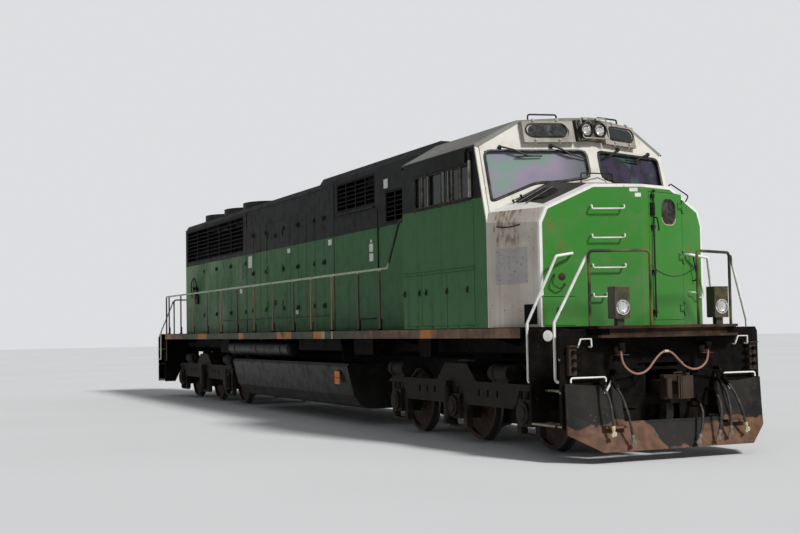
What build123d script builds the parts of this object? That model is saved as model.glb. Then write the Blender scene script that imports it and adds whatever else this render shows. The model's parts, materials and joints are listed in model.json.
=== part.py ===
"""Six-axle diesel-electric road locomotive with a full-width cab and a long hood.

Frame: +X towards the cab end, +Y to the vehicle's left, +Z up, in millimetres.
The origin is midway between the couplers, on the centreline, at the lowest point of the wheel flanges.
Heights named *_H are measured from the rail top and turned into z by up().
"""
from build123d import *
from math import cos, hypot, pi, radians, sin, tan
import os

os.makedirs("parts", exist_ok=True)

# Wheels and rail
FLANGE_DEPTH = 28
WHEEL_R = 508
WHEEL_INNER_Y = 676.5
WHEEL_WIDTH = 140
WHEEL_WEB_T = 42
HUB_R = 150
AXLE_R = 100
JOURNAL_R = 80
JOURNAL_END_Y = 1190
RUN_FIT = 0.1          # radial clearance of a shaft in its bearing
SEAT_GAP = 0.3         # clearance under a piece that turns on its seat

# Bogies
BOGIE_CENTRES = 13890
AXLE_PITCH = 2070
SIDE_FRAME_Y = 1060    # inner face of the side frames
SIDE_FRAME_T = 140
FRAME_TOP_H = 885
FRAME_BOTTOM_H = 545
HUMP_TOP_H = 1140
HUMP_HALF = 350
HUMP_FOOT_HALF = 640
FRAME_END = 2450
PEDESTAL_HALF = 190    # half width of the gap that an axle box slides in
PEDESTAL_LEG_T = 110
PEDESTAL_BOTTOM_H = 225
BOLSTER_HALF_X = 330
BOLSTER_T = 62
TRANSOM_X = AXLE_PITCH / 2
TRANSOM_HALF_X = 150
KING_PIN_R = 100
CENTRE_PLATE_R = 300

# Body
LENGTH = 21692         # over the coupler pulling faces
CAB_HALF_W = 1562
DECK_H = 1655
DECK_T = 40
SILL_H = 112
SILL_T = 40
SILL_END_X = 9510
DECK_HALF_W = 1530
DECK_END_HALF_W = 1475      # beyond the sills, inside the stair rails
PLATFORM_END_X = 10380
STEP_WELL_X = 9700     # rear face of the corner step well
STEP_WELL_INNER_Y = 880
PILOT_T = 40
GIRDER_Y = 500
GIRDER_HALF_W = 150
GIRDER_WEB_T = 30
GIRDER_BOTTOM_H = 1165
GIRDER_FLANGE_T = 40

# Hood
HOOD_HALF_W = 950
HOOD_T = 50
HOOD_REAR_X = -9600
HOOD_SPLIT_1 = -4100   # radiator length to engine length
HOOD_SPLIT_2 = 1450    # engine length to front length
HOOD_TOP_H = 4550
HOOD_STEP_RISE = 90
HOOD_HIGH_TOP_H = HOOD_TOP_H + HOOD_STEP_RISE
HOOD_SHOULDER_DROP = 125
HOOD_SHOULDER_IN = 80
HOOD_STEP_X = 700      # where the roof steps up

# Cab
CAB_REAR_X = 5930
CAB_CORNER_X = 8680
CAB_T = 60
CAB_KNEE_H = 3074      # above this the cab front leans back
CAB_SHOULDER_H = 4205
CAB_ROOF_EDGE_Y = 950
CAB_ROOF_H = 4552
CAB_CROWN_H = 4585
CAB_CROWN_Y = 300
CAB_FLOOR_H = 2150
FRONT_LEAN = 0.284     # run back per unit rise
FRONT_V = 0.346        # run back per unit of half width
NOSE_CORNER_X = 9615
NOSE_CORNER_Y = 1302
NOSE_TIP_X = 10046
NOSE_T = 60

# Fuel tank
TANK_X = (-3490, 3340)
TANK_TOP_H = 1075
TANK_EDGE_H = 1020
TANK_BOTTOM_H = 275
TANK_HALF_W = 1490
TANK_FOOT_HALF_W = 1230


def up(height):
    """Height above the rail as a z."""
    return FLANGE_DEPTH + height


def box(x0, x1, y0, y1, z0, z1):
    """A block between two corners."""
    return Pos((x0 + x1) / 2, (y0 + y1) / 2, (z0 + z1) / 2) * Box(x1 - x0, y1 - y0, z1 - z0)


def polygon(plane, points):
    return make_face(plane * Polyline(*points, close=True))


def prism_x(yz, x0, x1):
    """Outline of (y, z) points, from x0 to x1."""
    return extrude(polygon(Plane.YZ.offset(x0), yz), x1 - x0, dir=(1, 0, 0))


def prism_y(xz, y0, y1):
    """Outline of (x, z) points, from y0 to y1."""
    return extrude(polygon(Plane.XZ.offset(-y0), xz), y1 - y0, dir=(0, 1, 0))


def prism_z(xy, z0, z1):
    """Outline of (x, y) points, from z0 to z1."""
    return extrude(polygon(Plane.XY.offset(z0), xy), z1 - z0, dir=(0, 0, 1))


def rod(start, end, r):
    """A round bar between two points."""
    axis = Vector(*end) - Vector(*start)
    return Solid.make_cylinder(r, axis.length, Plane(origin=start, z_dir=axis))


def bent_tube(points, r, bend):
    """A round bar along straight runs with tangent bends."""
    path = FilletPolyline(*points, radius=bend)
    start = Plane(origin=path @ 0, z_dir=path % 0)
    return sweep(start * Circle(r), path)


def mirrored(shape):
    """The same shape on the other side of the centreline."""
    return mirror(shape, about=Plane.XZ)


def both(shape):
    return [shape, mirrored(shape)]


def turned(shape):
    """The shape of the front end put at the rear end."""
    return Rot(0, 0, 180) * shape


def fused(*shapes):
    flat = []
    for item in shapes:
        flat.extend(item if isinstance(item, (list, tuple)) else [item])
    result = flat[0]
    if len(flat) > 1:
        result = result.fuse(*flat[1:])
    return result


def write(node, *shapes):
    """One STEP file, holding every solid of the given shapes."""
    solids = []
    for item in shapes:
        for shape in item if isinstance(item, (list, tuple)) else [item]:
            solids.extend(shape.solids())
    body = solids[0] if len(solids) == 1 else Compound(children=solids)
    body.label = node
    export_step(body, f"parts/{node}.step")


# Wheelsets

def wheelset(x):
    """One axle with its two wheels, turned about Y."""
    inner = WHEEL_INNER_Y
    outer = inner + WHEEL_WIDTH
    web = (inner + outer) / 2
    rim_r = WHEEL_R - 62
    flange_r = WHEEL_R + FLANGE_DEPTH
    half = [
        (0, 0), (AXLE_R, 0), (AXLE_R, inner - 15), (HUB_R, inner - 15),
        (HUB_R, web - WHEEL_WEB_T / 2), (rim_r, web - WHEEL_WEB_T / 2), (rim_r, inner),
        (flange_r - 12, inner), (flange_r, inner + 12), (flange_r - 6, inner + 26),
        (WHEEL_R + 3, inner + 40), (WHEEL_R, outer - 8), (WHEEL_R - 8, outer), (rim_r, outer),
        (rim_r, web + WHEEL_WEB_T / 2), (HUB_R, web + WHEEL_WEB_T / 2), (HUB_R, outer + 12),
        (AXLE_R, outer + 12), (AXLE_R, outer + 30), (JOURNAL_R, outer + 30),
        (JOURNAL_R, JOURNAL_END_Y), (0, JOURNAL_END_Y),
    ]
    face = polygon(Plane.XY, half)
    one_side = revolve(face, Axis.Y, 360)
    return Pos(x, 0, up(WHEEL_R)) * fused(both(one_side))


# Bogies, built about their own centre and then placed

AXLES = (-AXLE_PITCH, 0, AXLE_PITCH)
# (axle, side of the axle on which the motor hangs)
MOTORS = ((-AXLE_PITCH, 1), (0, 1), (AXLE_PITCH, -1))
FRAME_SLOTS = (-1260, -990, -720, 720, 990, 1260)
BOX_HALF_X = 172
BOX_H = (330, 690)
BOX_Y = (880, 1235)
SPRING_R = 62
SIDE_FRAME_OUT = SIDE_FRAME_Y + SIDE_FRAME_T


def side_frame():
    """The cast side frame at +Y, with its pedestals, slots and tie bars."""
    top, hump = up(FRAME_TOP_H), up(HUMP_TOP_H)
    low = up(FRAME_BOTTOM_H)
    beam_low = up(BOX_H[1] + 110)
    half = [
        (FRAME_END, beam_low), (FRAME_END, top - 70), (FRAME_END - 160, top),
        (HUMP_FOOT_HALF, top), (HUMP_HALF, hump),
    ]
    outline = half + [(-x, z) for x, z in reversed(half)]
    beam = prism_y(outline, SIDE_FRAME_Y, SIDE_FRAME_OUT)
    bays = []
    for centre in (-AXLE_PITCH / 2, AXLE_PITCH / 2):
        reach = AXLE_PITCH / 2 - PEDESTAL_HALF
        belly = [
            (centre - reach, beam_low + 10), (centre - reach + 90, low + 60),
            (centre - reach + 190, low), (centre + reach - 190, low),
            (centre + reach - 90, low + 60), (centre + reach, beam_low + 10),
        ]
        bays.append(prism_y(belly, SIDE_FRAME_Y, SIDE_FRAME_OUT))
    legs = []
    for axle in AXLES:
        for side in (-1, 1):
            inner = axle + side * PEDESTAL_HALF
            outer = inner + side * PEDESTAL_LEG_T
            legs.append(box(min(inner, outer), max(inner, outer), SIDE_FRAME_Y + 20, SIDE_FRAME_OUT - 20,
                            up(PEDESTAL_BOTTOM_H), beam_low + 40))
        reach = PEDESTAL_HALF + PEDESTAL_LEG_T
        legs.append(box(axle - reach, axle + reach, SIDE_FRAME_Y + 35, SIDE_FRAME_OUT - 35,
                        up(PEDESTAL_BOTTOM_H) - 32, up(PEDESTAL_BOTTOM_H)))
    cast = fused(beam, bays, legs)
    for x in FRAME_SLOTS:
        cast -= box(x - 28, x + 28, SIDE_FRAME_Y - 5, SIDE_FRAME_OUT + 5, up(680), up(780))
    return cast


def bogie_frame():
    side = side_frame()
    top = up(HUMP_TOP_H)
    bolster = box(-BOLSTER_HALF_X, BOLSTER_HALF_X, -SIDE_FRAME_Y, SIDE_FRAME_Y, top - BOLSTER_T, top)
    spine = box(-TRANSOM_X, TRANSOM_X, -400, 400, top - BOLSTER_T, top)
    transoms = []
    for x in (-TRANSOM_X, TRANSOM_X):
        transoms.append(box(x - TRANSOM_HALF_X, x + TRANSOM_HALF_X, -SIDE_FRAME_Y, SIDE_FRAME_Y,
                            up(610), up(FRAME_TOP_H - 20)))
        transoms.append(box(x - TRANSOM_HALF_X, x + TRANSOM_HALF_X, -400, 400, up(FRAME_TOP_H - 20), top))
    frame = fused(both(side), bolster, spine, transoms)
    return frame - rod((0, 0, up(900)), (0, 0, top + 10), KING_PIN_R + RUN_FIT)


def axle_box(x):
    """Axle box at +Y: housing, round cover and the springs up to the frame."""
    y0, y1 = BOX_Y
    centre = up(WHEEL_R)
    housing = box(x - BOX_HALF_X, x + BOX_HALF_X, y0, y1, up(BOX_H[0]), up(BOX_H[1]))
    cover = rod((x, y1, centre), (x, y1 + 45, centre), 150)
    cap = rod((x, y1 + 45, centre), (x, y1 + 60, centre), 95)
    bore = rod((x, y0 - 10, centre), (x, JOURNAL_END_Y + 2, centre), JOURNAL_R + RUN_FIT)
    springs = []
    for dx in (-95, 95):
        springs.append(rod((x + dx, SIDE_FRAME_Y + 70, up(BOX_H[1])),
                           (x + dx, SIDE_FRAME_Y + 70, up(BOX_H[1] + 110)), SPRING_R))
    return fused(housing, cover, cap, springs) - bore


# Brake cylinders on one side frame: (rear x, front x), from the bogie's centre
BRAKE_CYLINDERS = ((-2380, -1830), (1080, 1600))
BRAKE_R = 122
BRAKE_BAND = 12


def brake_gear():
    """Brake cylinders on the frame and the strut beside the middle axle, at +Y."""
    pieces = []
    z = up(FRAME_TOP_H) + BRAKE_R + BRAKE_BAND + 2
    y = SIDE_FRAME_Y + SIDE_FRAME_T / 2
    for x0, x1 in BRAKE_CYLINDERS:
        can = rod((x0, y, z), (x1, y, z), BRAKE_R)
        push = rod((x0 - 90, y, z), (x0, y, z), 30)
        band = rod((x0 + 120, y, z), (x0 + 150, y, z), BRAKE_R + BRAKE_BAND)
        foot = box(x0 + 40, x1 - 40, y - 60, y + 60, up(FRAME_TOP_H), z - BRAKE_R * 0.5)
        pieces.append(fused(can, push, band, foot))
    out = SIDE_FRAME_OUT
    strut = rod((-150, out + 70, up(300)), (-150, out + 70, up(800)), 58)
    lug = box(-210, -90, out, out + 130, up(800), up(880))
    foot = box(-PEDESTAL_HALF, -90, out - 60, out + 130, up(240), up(300))
    pieces.append(fused(strut, lug, foot))
    return pieces


def motor(x, side):
    """Axle-hung motor with its gear case; the nose rests on the transom."""
    near, far = x + side * 150, x + side * (TRANSOM_X - TRANSOM_HALF_X)
    x0, x1 = min(near, far), max(near, far)
    low, high = up(250), up(930)
    body = prism_y([(x0, low + 140), (x0 + 110, low), (x1 - 110, low), (x1, low + 140), (x1, high - 60),
                    (x1 - 60, high), (x0 + 60, high), (x0, high - 60)], -560, 520)
    centre = up(WHEEL_R)
    drum = rod((x, 535, centre), (x, 645, centre), 345)
    bridge = box(min(x, x + side * 560), max(x, x + side * 560), 535, 645, centre - 250, centre + 250)
    neck = box(x0 + 60, x1 - 60, 500, 560, centre - 120, centre + 200)
    case = fused(drum, bridge) - rod((x, 500, centre), (x, 700, centre), AXLE_R + 8)
    return fused(body, neck, case)


def place(shape, end):
    """Puts a bogie piece at the front (1) or the rear (-1)."""
    moved = shape if end == 1 else turned(shape)
    return Pos(end * BOGIE_CENTRES / 2, 0, 0) * moved


def build_bogies():
    frame = bogie_frame()
    boxes = [axle_box(x) for x in AXLES] + brake_gear()
    gear = boxes + [mirrored(piece) for piece in boxes]
    motors = [motor(x, side) for x, side in MOTORS]
    for end, name in ((1, "front"), (-1, "rear")):
        write(f"bogie_{name}_frame", place(frame, end))
        write(f"bogie_{name}_boxes", [place(piece, end) for piece in gear])
        write(f"bogie_{name}_motors", [place(piece, end) for piece in motors])
        for number, x in enumerate(AXLES, start=1):
            write(f"wheelset_{name}_{number}", wheelset(end * BOGIE_CENTRES / 2 + x))


# Underframe

CROSS_BEARERS = (-9300, -8500, -5200, -4300, -3000, -1500, 0, 1500, 3000, 4300, 5200, 8500, 9300)
BEARER_T = 30
DRAFT_HALF_W = 290
DRAFT_H = (650, 1130)
DRAFT_T = 40
COUPLER_PIN_X = LENGTH / 2 - 896
DRAFT_REAR_X = COUPLER_PIN_X - 310
COUPLER_PIN_R = 45
COUPLER_H = 876
SHANK_HALF_Z = 75
ANTICLIMBER = ((10380, 1190), (10620, 1050), (10740, 420))   # (x, y) of its outline, front end


def deck_outline():
    """Plan of the deck, with a cut-out over each corner step well."""
    quarter = [
        (SILL_END_X, DECK_HALF_W), (SILL_END_X, DECK_END_HALF_W),
        (STEP_WELL_X, DECK_END_HALF_W), (STEP_WELL_X, STEP_WELL_INNER_Y),
        (PLATFORM_END_X, STEP_WELL_INNER_Y),
    ]
    front = quarter + [(x, -y) for x, y in reversed(quarter)]
    rear = [(-x, -y) for x, y in front]
    return front + rear


def bearer(x):
    """A tapered cross plate under the deck."""
    low, high = up(GIRDER_BOTTOM_H) + 100, up(DECK_H) - DECK_T
    half = [(DECK_HALF_W - 10, high), (DECK_HALF_W - 10, high - 80), (GIRDER_Y, low)]
    return prism_x(half + [(-y, z) for y, z in reversed(half)], x - BEARER_T / 2, x + BEARER_T / 2)


def build_underframe():
    deck_z = up(DECK_H)
    deck = prism_z(deck_outline(), deck_z - DECK_T, deck_z)
    sill = box(-SILL_END_X, SILL_END_X, DECK_HALF_W - 8, DECK_HALF_W - 8 + SILL_T, deck_z - SILL_H - 5, deck_z - 5)
    pieces = [deck] + both(sill)
    girder_x = 9600
    low, high = up(GIRDER_BOTTOM_H), deck_z - DECK_T
    for y in (-GIRDER_Y, GIRDER_Y):
        pieces.append(box(-girder_x, girder_x, y - GIRDER_WEB_T / 2, y + GIRDER_WEB_T / 2, low, high))
        pieces.append(box(-girder_x, girder_x, y - GIRDER_HALF_W, y + GIRDER_HALF_W, low, low + GIRDER_FLANGE_T))
    pieces += [bearer(x) for x in CROSS_BEARERS]
    for x in (-BOGIE_CENTRES / 2, BOGIE_CENTRES / 2):
        seat = up(HUMP_TOP_H) + SEAT_GAP
        pieces.append(box(x - 420, x + 420, -640, 640, up(1195), high))
        pieces.append(rod((x, 0, seat), (x, 0, up(1200)), CENTRE_PLATE_R))
        pieces.append(rod((x, 0, up(HUMP_TOP_H) - BOLSTER_T + 4), (x, 0, up(1200)), KING_PIN_R))
    front = draft_pocket()
    pieces += front + [turned(piece) for piece in front]
    write("underframe", fused(pieces))


def draft_pocket():
    """The box that takes the front coupler's shank, with its pin."""
    z0, z1 = up(DRAFT_H[0]), up(DRAFT_H[1])
    outer = box(DRAFT_REAR_X, PLATFORM_END_X, -DRAFT_HALF_W, DRAFT_HALF_W, z0, z1)
    inner = box(DRAFT_REAR_X + DRAFT_T, PLATFORM_END_X + 10, DRAFT_T - DRAFT_HALF_W, DRAFT_HALF_W - DRAFT_T,
                z0 + DRAFT_T, z1 - DRAFT_T)
    hangers = [box(DRAFT_REAR_X, PLATFORM_END_X, y - 20, y + 20, z1 - 10, up(DECK_H) - DECK_T)
               for y in (-DRAFT_HALF_W + 20, DRAFT_HALF_W - 20)]
    pin = rod((COUPLER_PIN_X, 0, z0 + 10), (COUPLER_PIN_X, 0, z1 - 10), COUPLER_PIN_R)
    seat_top = up(COUPLER_H) - SHANK_HALF_Z - SEAT_GAP
    seat = box(COUPLER_PIN_X - 70, PLATFORM_END_X, -DRAFT_HALF_W + DRAFT_T, DRAFT_HALF_W - DRAFT_T, z0 + 10, seat_top)
    return [outer - inner, pin, seat] + hangers


def coupler():
    """Front coupler: shank, head with guard arm, and the knuckle with its pin."""
    z = up(COUPLER_H)
    face = LENGTH / 2
    neck = face - 346             # rear of the head
    shank = box(COUPLER_PIN_X - 75, neck + 60, -65, 65, z - SHANK_HALF_Z, z + SHANK_HALF_Z)
    tail = rod((COUPLER_PIN_X, 0, z - SHANK_HALF_Z), (COUPLER_PIN_X, 0, z + SHANK_HALF_Z), 95)
    head = prism_z([(neck, -110), (neck + 100, -190), (neck + 200, -200), (neck + 200, 150), (neck + 100, 190),
                    (neck, 110)], z - 150, z + 150)
    guard = prism_z([(neck + 190, -200), (neck + 300, -235), (face - 30, -225), (face - 25, -175),
                     (neck + 260, -125), (neck + 190, -110)], z - 120, z + 120)
    knuckle = prism_z([(neck + 190, 60), (neck + 190, 150), (neck + 260, 185), (neck + 315, 160), (face, 70),
                       (face, -20), (face - 35, -60), (neck + 270, -55), (neck + 275, 35)], z - 140, z + 140)
    pin = rod((neck + 245, 120, z - 175), (neck + 245, 120, z + 175), 32)
    lift = bent_tube([(neck + 140, 0, z + 140), (neck + 140, 0, z + 175), (neck + 140, 120, z + 175)], 12, 20)
    whole = fused(shank, tail, head, guard, knuckle, pin, lift)
    return whole - rod((COUPLER_PIN_X, 0, z - 200), (COUPLER_PIN_X, 0, z + 200), COUPLER_PIN_R + RUN_FIT)


# Corner steps: (tread height, outer y, inner y)
TREADS = ((435, 1530, 1270), (850, 1320, 1060), (1255, 1120, STEP_WELL_INNER_Y))
TREAD_T = 30


def pilot():
    """Front end plate with the corner step wells on both sides."""
    top = up(DECK_H) - DECK_T
    x0, x1 = PLATFORM_END_X, PLATFORM_END_X + PILOT_T
    half = [(0, top), (1500, top), (1530, top - 60), (1530, up(380)), (1180, up(380)), (1060, up(620)),
            (400, up(620)), (400, up(1180)), (0, up(1180))]
    outline = half + [(-y, z) for y, z in reversed(half)][1:-1]
    plate = prism_x(outline, x0, x1)
    pieces = [plate]
    for side in (1, -1):
        inner, outer = STEP_WELL_INNER_Y, 1530
        rear = [(side * inner, top), (side * outer, top), (side * outer, up(380)), (side * 1250, up(380)),
                (side * inner, up(1150))]
        pieces.append(prism_x(rear, STEP_WELL_X - PILOT_T, STEP_WELL_X))
        for height, out_y, in_y in TREADS:
            y0, y1 = sorted((side * out_y, side * in_y))
            pieces.append(box(STEP_WELL_X, x0, y0, y1, up(height) - TREAD_T, up(height)))
            riser = sorted((side * in_y, side * (in_y + 12)))
            pieces.append(box(STEP_WELL_X, x0, *riser, up(height), up(height) + 160))
    return pieces


def anticlimber():
    """Front edge of the platform: a bowed bar with ribs."""
    outline = list(ANTICLIMBER) + [(x, -y) for x, y in reversed(ANTICLIMBER)]
    top = up(DECK_H)
    upper = prism_z(outline, top - 35, top)
    lower = prism_z(outline, top - 150, top - 118)
    core = [(max(x - 60, PLATFORM_END_X), y * 0.96) for x, y in ANTICLIMBER]
    web = prism_z(core + [(x, -y) for x, y in reversed(core)], top - 119, top - 34)
    back = box(PLATFORM_END_X, PLATFORM_END_X + PILOT_T, -1180, 1180, top - DECK_T - 120, top)
    return [upper, lower, web, back]


def pilot_grab():
    """U-shaped grab under the platform's edge, at +Y."""
    face = PLATFORM_END_X + PILOT_T
    y0, y1 = 1110, 1310
    points = [(face - 10, y0, up(1397)), (face + 60, y0, up(1397)), (face + 90, y0 + 25, up(1500)),
              (face + 90, y1 - 25, up(1500)), (face + 60, y1, up(1397)), (face - 10, y1, up(1397))]
    return bent_tube(points, 11, 22)


def build_pilots():
    cocks = [cock(number) for number in HOSES]
    front = fused(pilot(), anticlimber(), cocks, cable_holders(), both(pilot_grab()))
    end = box(PLATFORM_END_X, PLATFORM_END_X + PILOT_T, -1500, 1500, up(DECK_H) - DECK_T - 1, up(DECK_H))
    rear = turned(fused(pilot(), end, cocks))
    write("pilots", front, rear)


# Plough blade: (x, height) down its face at the middle and at the outer edge
BLADE_MID = ((10500, 920), (10615, 430), (10750, 120))
BLADE_END = ((10480, 955), (10500, 600), (10520, 330))
BLADE_T = 30
BLADE_STRAIGHT_Y = 1140
BLADE_END_Y = 1500
BLADE_GAP_Y = 735
# Braces behind the blade: (y, x at height 880, x at 800, x at 520)
BLADE_BRACES = ((1400, 10480, 10490, 10522), (800, 10492, 10512, 10575))
BLADE_GAP_H = 470


def blade_section(points):
    return [(x, up(h)) for x, h in points] + [(x - BLADE_T, up(h)) for x, h in reversed(points)]


def build_plough():
    mid = prism_y(blade_section(BLADE_MID), -BLADE_STRAIGHT_Y, BLADE_STRAIGHT_Y)
    mid -= box(10300, 10900, -BLADE_GAP_Y, BLADE_GAP_Y, up(BLADE_GAP_H), up(1000))
    wings = []
    for side in (1, -1):
        inner = polygon(Plane.XZ.offset(-side * BLADE_STRAIGHT_Y), blade_section(BLADE_MID))
        outer = polygon(Plane.XZ.offset(-side * BLADE_END_Y), blade_section(BLADE_END))
        wings.append(loft([inner, outer], ruled=True))
    braces = []
    back = PLATFORM_END_X + PILOT_T
    for y, top_x, upper_x, low_x in BLADE_BRACES:
        brace = prism_y([(back, up(700)), (top_x, up(880)), (upper_x, up(800)), (low_x, up(520)), (back, up(640))],
                        y - 12, y + 12)
        braces += both(brace)
    # Step pockets on the blade: (y0, y1)
    for y0, y1 in ((-1080, -760), (760, 1080)):
        braces.append(box(10560, 10720, y0, y1, up(400), up(430)))
    foot_x = BLADE_MID[0][0] - BLADE_T / 2 - 8
    staple = bent_tube([(foot_x, 910, up(905)), (foot_x, 910, up(1020)), (foot_x, 1420, up(1020)),
                        (foot_x, 1420, up(930))], 11, 30)
    write("plough", fused(mid, wings, braces, both(staple)))


# Below the deck

RESERVOIR = {"x0": -4020, "x1": 100, "y": 1300, "h": 1315, "r": 155}


def reservoir(y, x0, x1):
    z, r = up(RESERVOIR["h"]), RESERVOIR["r"]
    shell = rod((x0, y, z), (x1, y, z), r)
    shell = fillet(shell.edges().filter_by(GeomType.CIRCLE), r * 0.55)
    straps = []
    for x in (x0 + 500, (x0 + x1) / 2, x1 - 500):
        ring = rod((x - 25, y, z), (x + 25, y, z), r + 10)
        hanger = box(x - 25, x + 25, y - 20, y + 20, z + r - 5, up(DECK_H) - DECK_T)
        straps += [ring, hanger]
    return fused(shell, straps)


def build_tank():
    low, edge, top = up(TANK_BOTTOM_H), up(TANK_EDGE_H), up(TANK_TOP_H)
    half = [(TANK_FOOT_HALF_W - 170, low), (TANK_FOOT_HALF_W, low + 60), (TANK_FOOT_HALF_W + 130, low + 240),
            (TANK_HALF_W, edge), (TANK_HALF_W - 40, top), (700, top), (660, up(GIRDER_BOTTOM_H))]
    outline = half + [(-y, z) for y, z in reversed(half)]
    write("fuel_tank", prism_x(outline, *TANK_X))
    write("air_reservoirs", [reservoir(y, RESERVOIR["x0"], RESERVOIR["x1"])
                             for y in (RESERVOIR["y"], -RESERVOIR["y"])])


def build_underfloor():
    """Ducts, boxes and pipes between the sills and the bogies."""
    under = up(DECK_H) - DECK_T
    pieces = []
    for side in (1, -1):
        def slab(x0, x1, y0, y1, z0, z1):
            low, high = sorted((side * y0, side * y1))
            return box(x0, x1, low, high, z0, z1)
        pieces.append(slab(3700, 9200, 760, 1010, up(1300), under))
        pieces.append(slab(-9200, -4500, 760, 1010, up(1300), under))
        pieces.append(slab(3420, 4250, 1040, 1380, up(1240), under))
        pieces.append(slab(-4800, -4150, 1040, 1380, up(1200), under))
        pieces.append(slab(5950, 6350, 1180, 1320, up(1230), under))
        pieces.append(slab(700, 2900, 1120, 1420, up(1300), under))
    bearers = [bearer(x) for x in CROSS_BEARERS]
    write("underfloor_gear", [piece.cut(*bearers) for piece in pieces])


# Hood

def hood_section(top_h, inset=0):
    """Hood outline across the vehicle, from the deck to its roof."""
    w, top = HOOD_HALF_W - inset, up(top_h) - inset
    drop = HOOD_SHOULDER_DROP
    half = [(w, up(DECK_H)), (w, top - drop), (w - HOOD_SHOULDER_IN, top)]
    return half + [(-y, z) for y, z in reversed(half)]


def hood_shell(x0, x1, top_h, wall_rear, wall_front):
    outer = prism_x(hood_section(top_h), x0, x1)
    inner = prism_x(hood_section(top_h, HOOD_T), x0 + wall_rear, x1 - wall_front)
    return outer - inner


# Side openings of the hood: name -> (x0, x1, low, high)
RADIATOR_OPENING = (-9450, -4350, HOOD_TOP_H - 1020, HOOD_TOP_H - 150)
GRID_OPENING = (1600, 3450, HOOD_HIGH_TOP_H - 770, HOOD_HIGH_TOP_H - 200)
FILTER_OPENING = (3880, 4680, HOOD_HIGH_TOP_H - 1160, HOOD_HIGH_TOP_H - 580)
# Hinged leaves of the engine room: (rear x, front x, hinge at the rear edge)
LEAF_H = (1985, HOOD_TOP_H - 510)
LEAVES = (("a", -2570, -2080, True), ("b", -2070, -1580, False))
LEAF_T = 40
LEAF_GAP = 6
LEAF_PIN_OUT = 8              # hinge pin centre, outside the hood side
LEAF_PIN_R = 7
PIN_HALF = 60                 # half length of a hinge pin
KNUCKLE = 26                  # height of the fixed knuckle above and below a pin
LEAF_PIN_H = (LEAF_H[0] + 250, (LEAF_H[0] + LEAF_H[1]) / 2, LEAF_H[1] - 250)
PANEL_RISE = 7                # door panels stand out of the hood side by this
LATCH_HALF = 18
LATCH_REACH = 50              # half height of a latch
# Bolted door panels of the hood sides: (hood length, rear x, front x, low, high, latch heights, latch at the front)
ENGINE_PANELS = tuple(
    ("engine", x0, x1, 1972, LEAF_H[1] + 32, (2152, 2992, LEAF_H[1] - 188), at_front)
    for x0, x1, at_front in (
        (-4085, -3585, True), (-3560, -3085, False), (-3060, -2640, True), (-1510, -1085, False),
        (-1065, -585, True), (-565, -85, False), (-65, 415, True), (435, 925, True), (940, 1430, False),
    )
)
RADIATOR_PANELS = tuple(
    ("radiator", -7780 + 610 * i, -7190 + 610 * i, 1972, RADIATOR_OPENING[2] - 138,
     (2132, RADIATOR_OPENING[2] - 278), i % 2 == 1)
    for i in range(5)
)
HOOD_PANELS = ENGINE_PANELS + RADIATOR_PANELS + (
    ("radiator", -4730, -4125, 1972, RADIATOR_OPENING[2] - 138, (2132, RADIATOR_OPENING[2] - 278), True),
    ("radiator", -9560, -7800, 1972, RADIATOR_OPENING[2] - 138, (), True),
    ("front", 1470, 3540, 1692, GRID_OPENING[2] - 98, (), True),
    ("front", 3590, 5380, 1692, FILTER_OPENING[2] - 78, (), True),
)
BRAKE_WHEEL = {"x": -8390, "h": 2832, "r": 270, "bar": 14, "out": 115}


def side_cut(opening):
    x0, x1, low, high = opening
    return box(x0, x1, -HOOD_HALF_W - 20, HOOD_HALF_W + 20, up(low), up(high))


# Roof fans: (name, x, roof height, height of the housing above the roof)
FANS = (
    ("rear", -8250, HOOD_TOP_H, 200),
    ("middle", -6500, HOOD_TOP_H, 200),
    ("front", -4920, HOOD_TOP_H, 200),
    ("brake", 2560, HOOD_HIGH_TOP_H, 40),
)
FAN_HOLE_R = 670
FAN_RING_R = 740
FAN_BLADE_R = 610
FAN_BLADE_ROOT = 130
EXHAUST = {"x": -900, "half_x": 260, "half_y": 160, "top": 150}


def leaf_knuckles(name, x0, x1, hinge_at_rear):
    """Fixed halves of a leaf's hinges, on the hood side at +Y."""
    edge = x0 if hinge_at_rear else x1
    away = -1 if hinge_at_rear else 1
    y = HOOD_HALF_W + LEAF_PIN_OUT
    pieces = []
    for height in LEAF_PIN_H:
        for turn in (-1, 1):
            near = up(height) + turn * (PIN_HALF + SEAT_GAP)
            far = near + turn * KNUCKLE
            span = sorted((edge + away * 4, edge + away * 60))
            pieces.append(fused(rod((edge, y, min(near, far)), (edge, y, max(near, far)), 6),
                                box(*span, HOOD_HALF_W - 5, y + 5, min(near, far), max(near, far))))
    return fused(pieces)


def door_panels(length):
    """Raised panels and their latches on one length of the hood, at +Y."""
    pieces = []
    for name, x0, x1, low, high, latches, at_front in HOOD_PANELS:
        if name == length:
            pieces.append(box(x0, x1, HOOD_HALF_W - 5, HOOD_HALF_W + PANEL_RISE, up(low), up(high)))
            x = x1 - 45 if at_front else x0 + 45
            for z in [up(height) for height in latches]:
                pieces.append(box(x - LATCH_HALF, x + LATCH_HALF, HOOD_HALF_W, HOOD_HALF_W + PANEL_RISE + 13,
                                  z - LATCH_REACH, z + LATCH_REACH))
    return both(fused(pieces))


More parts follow.
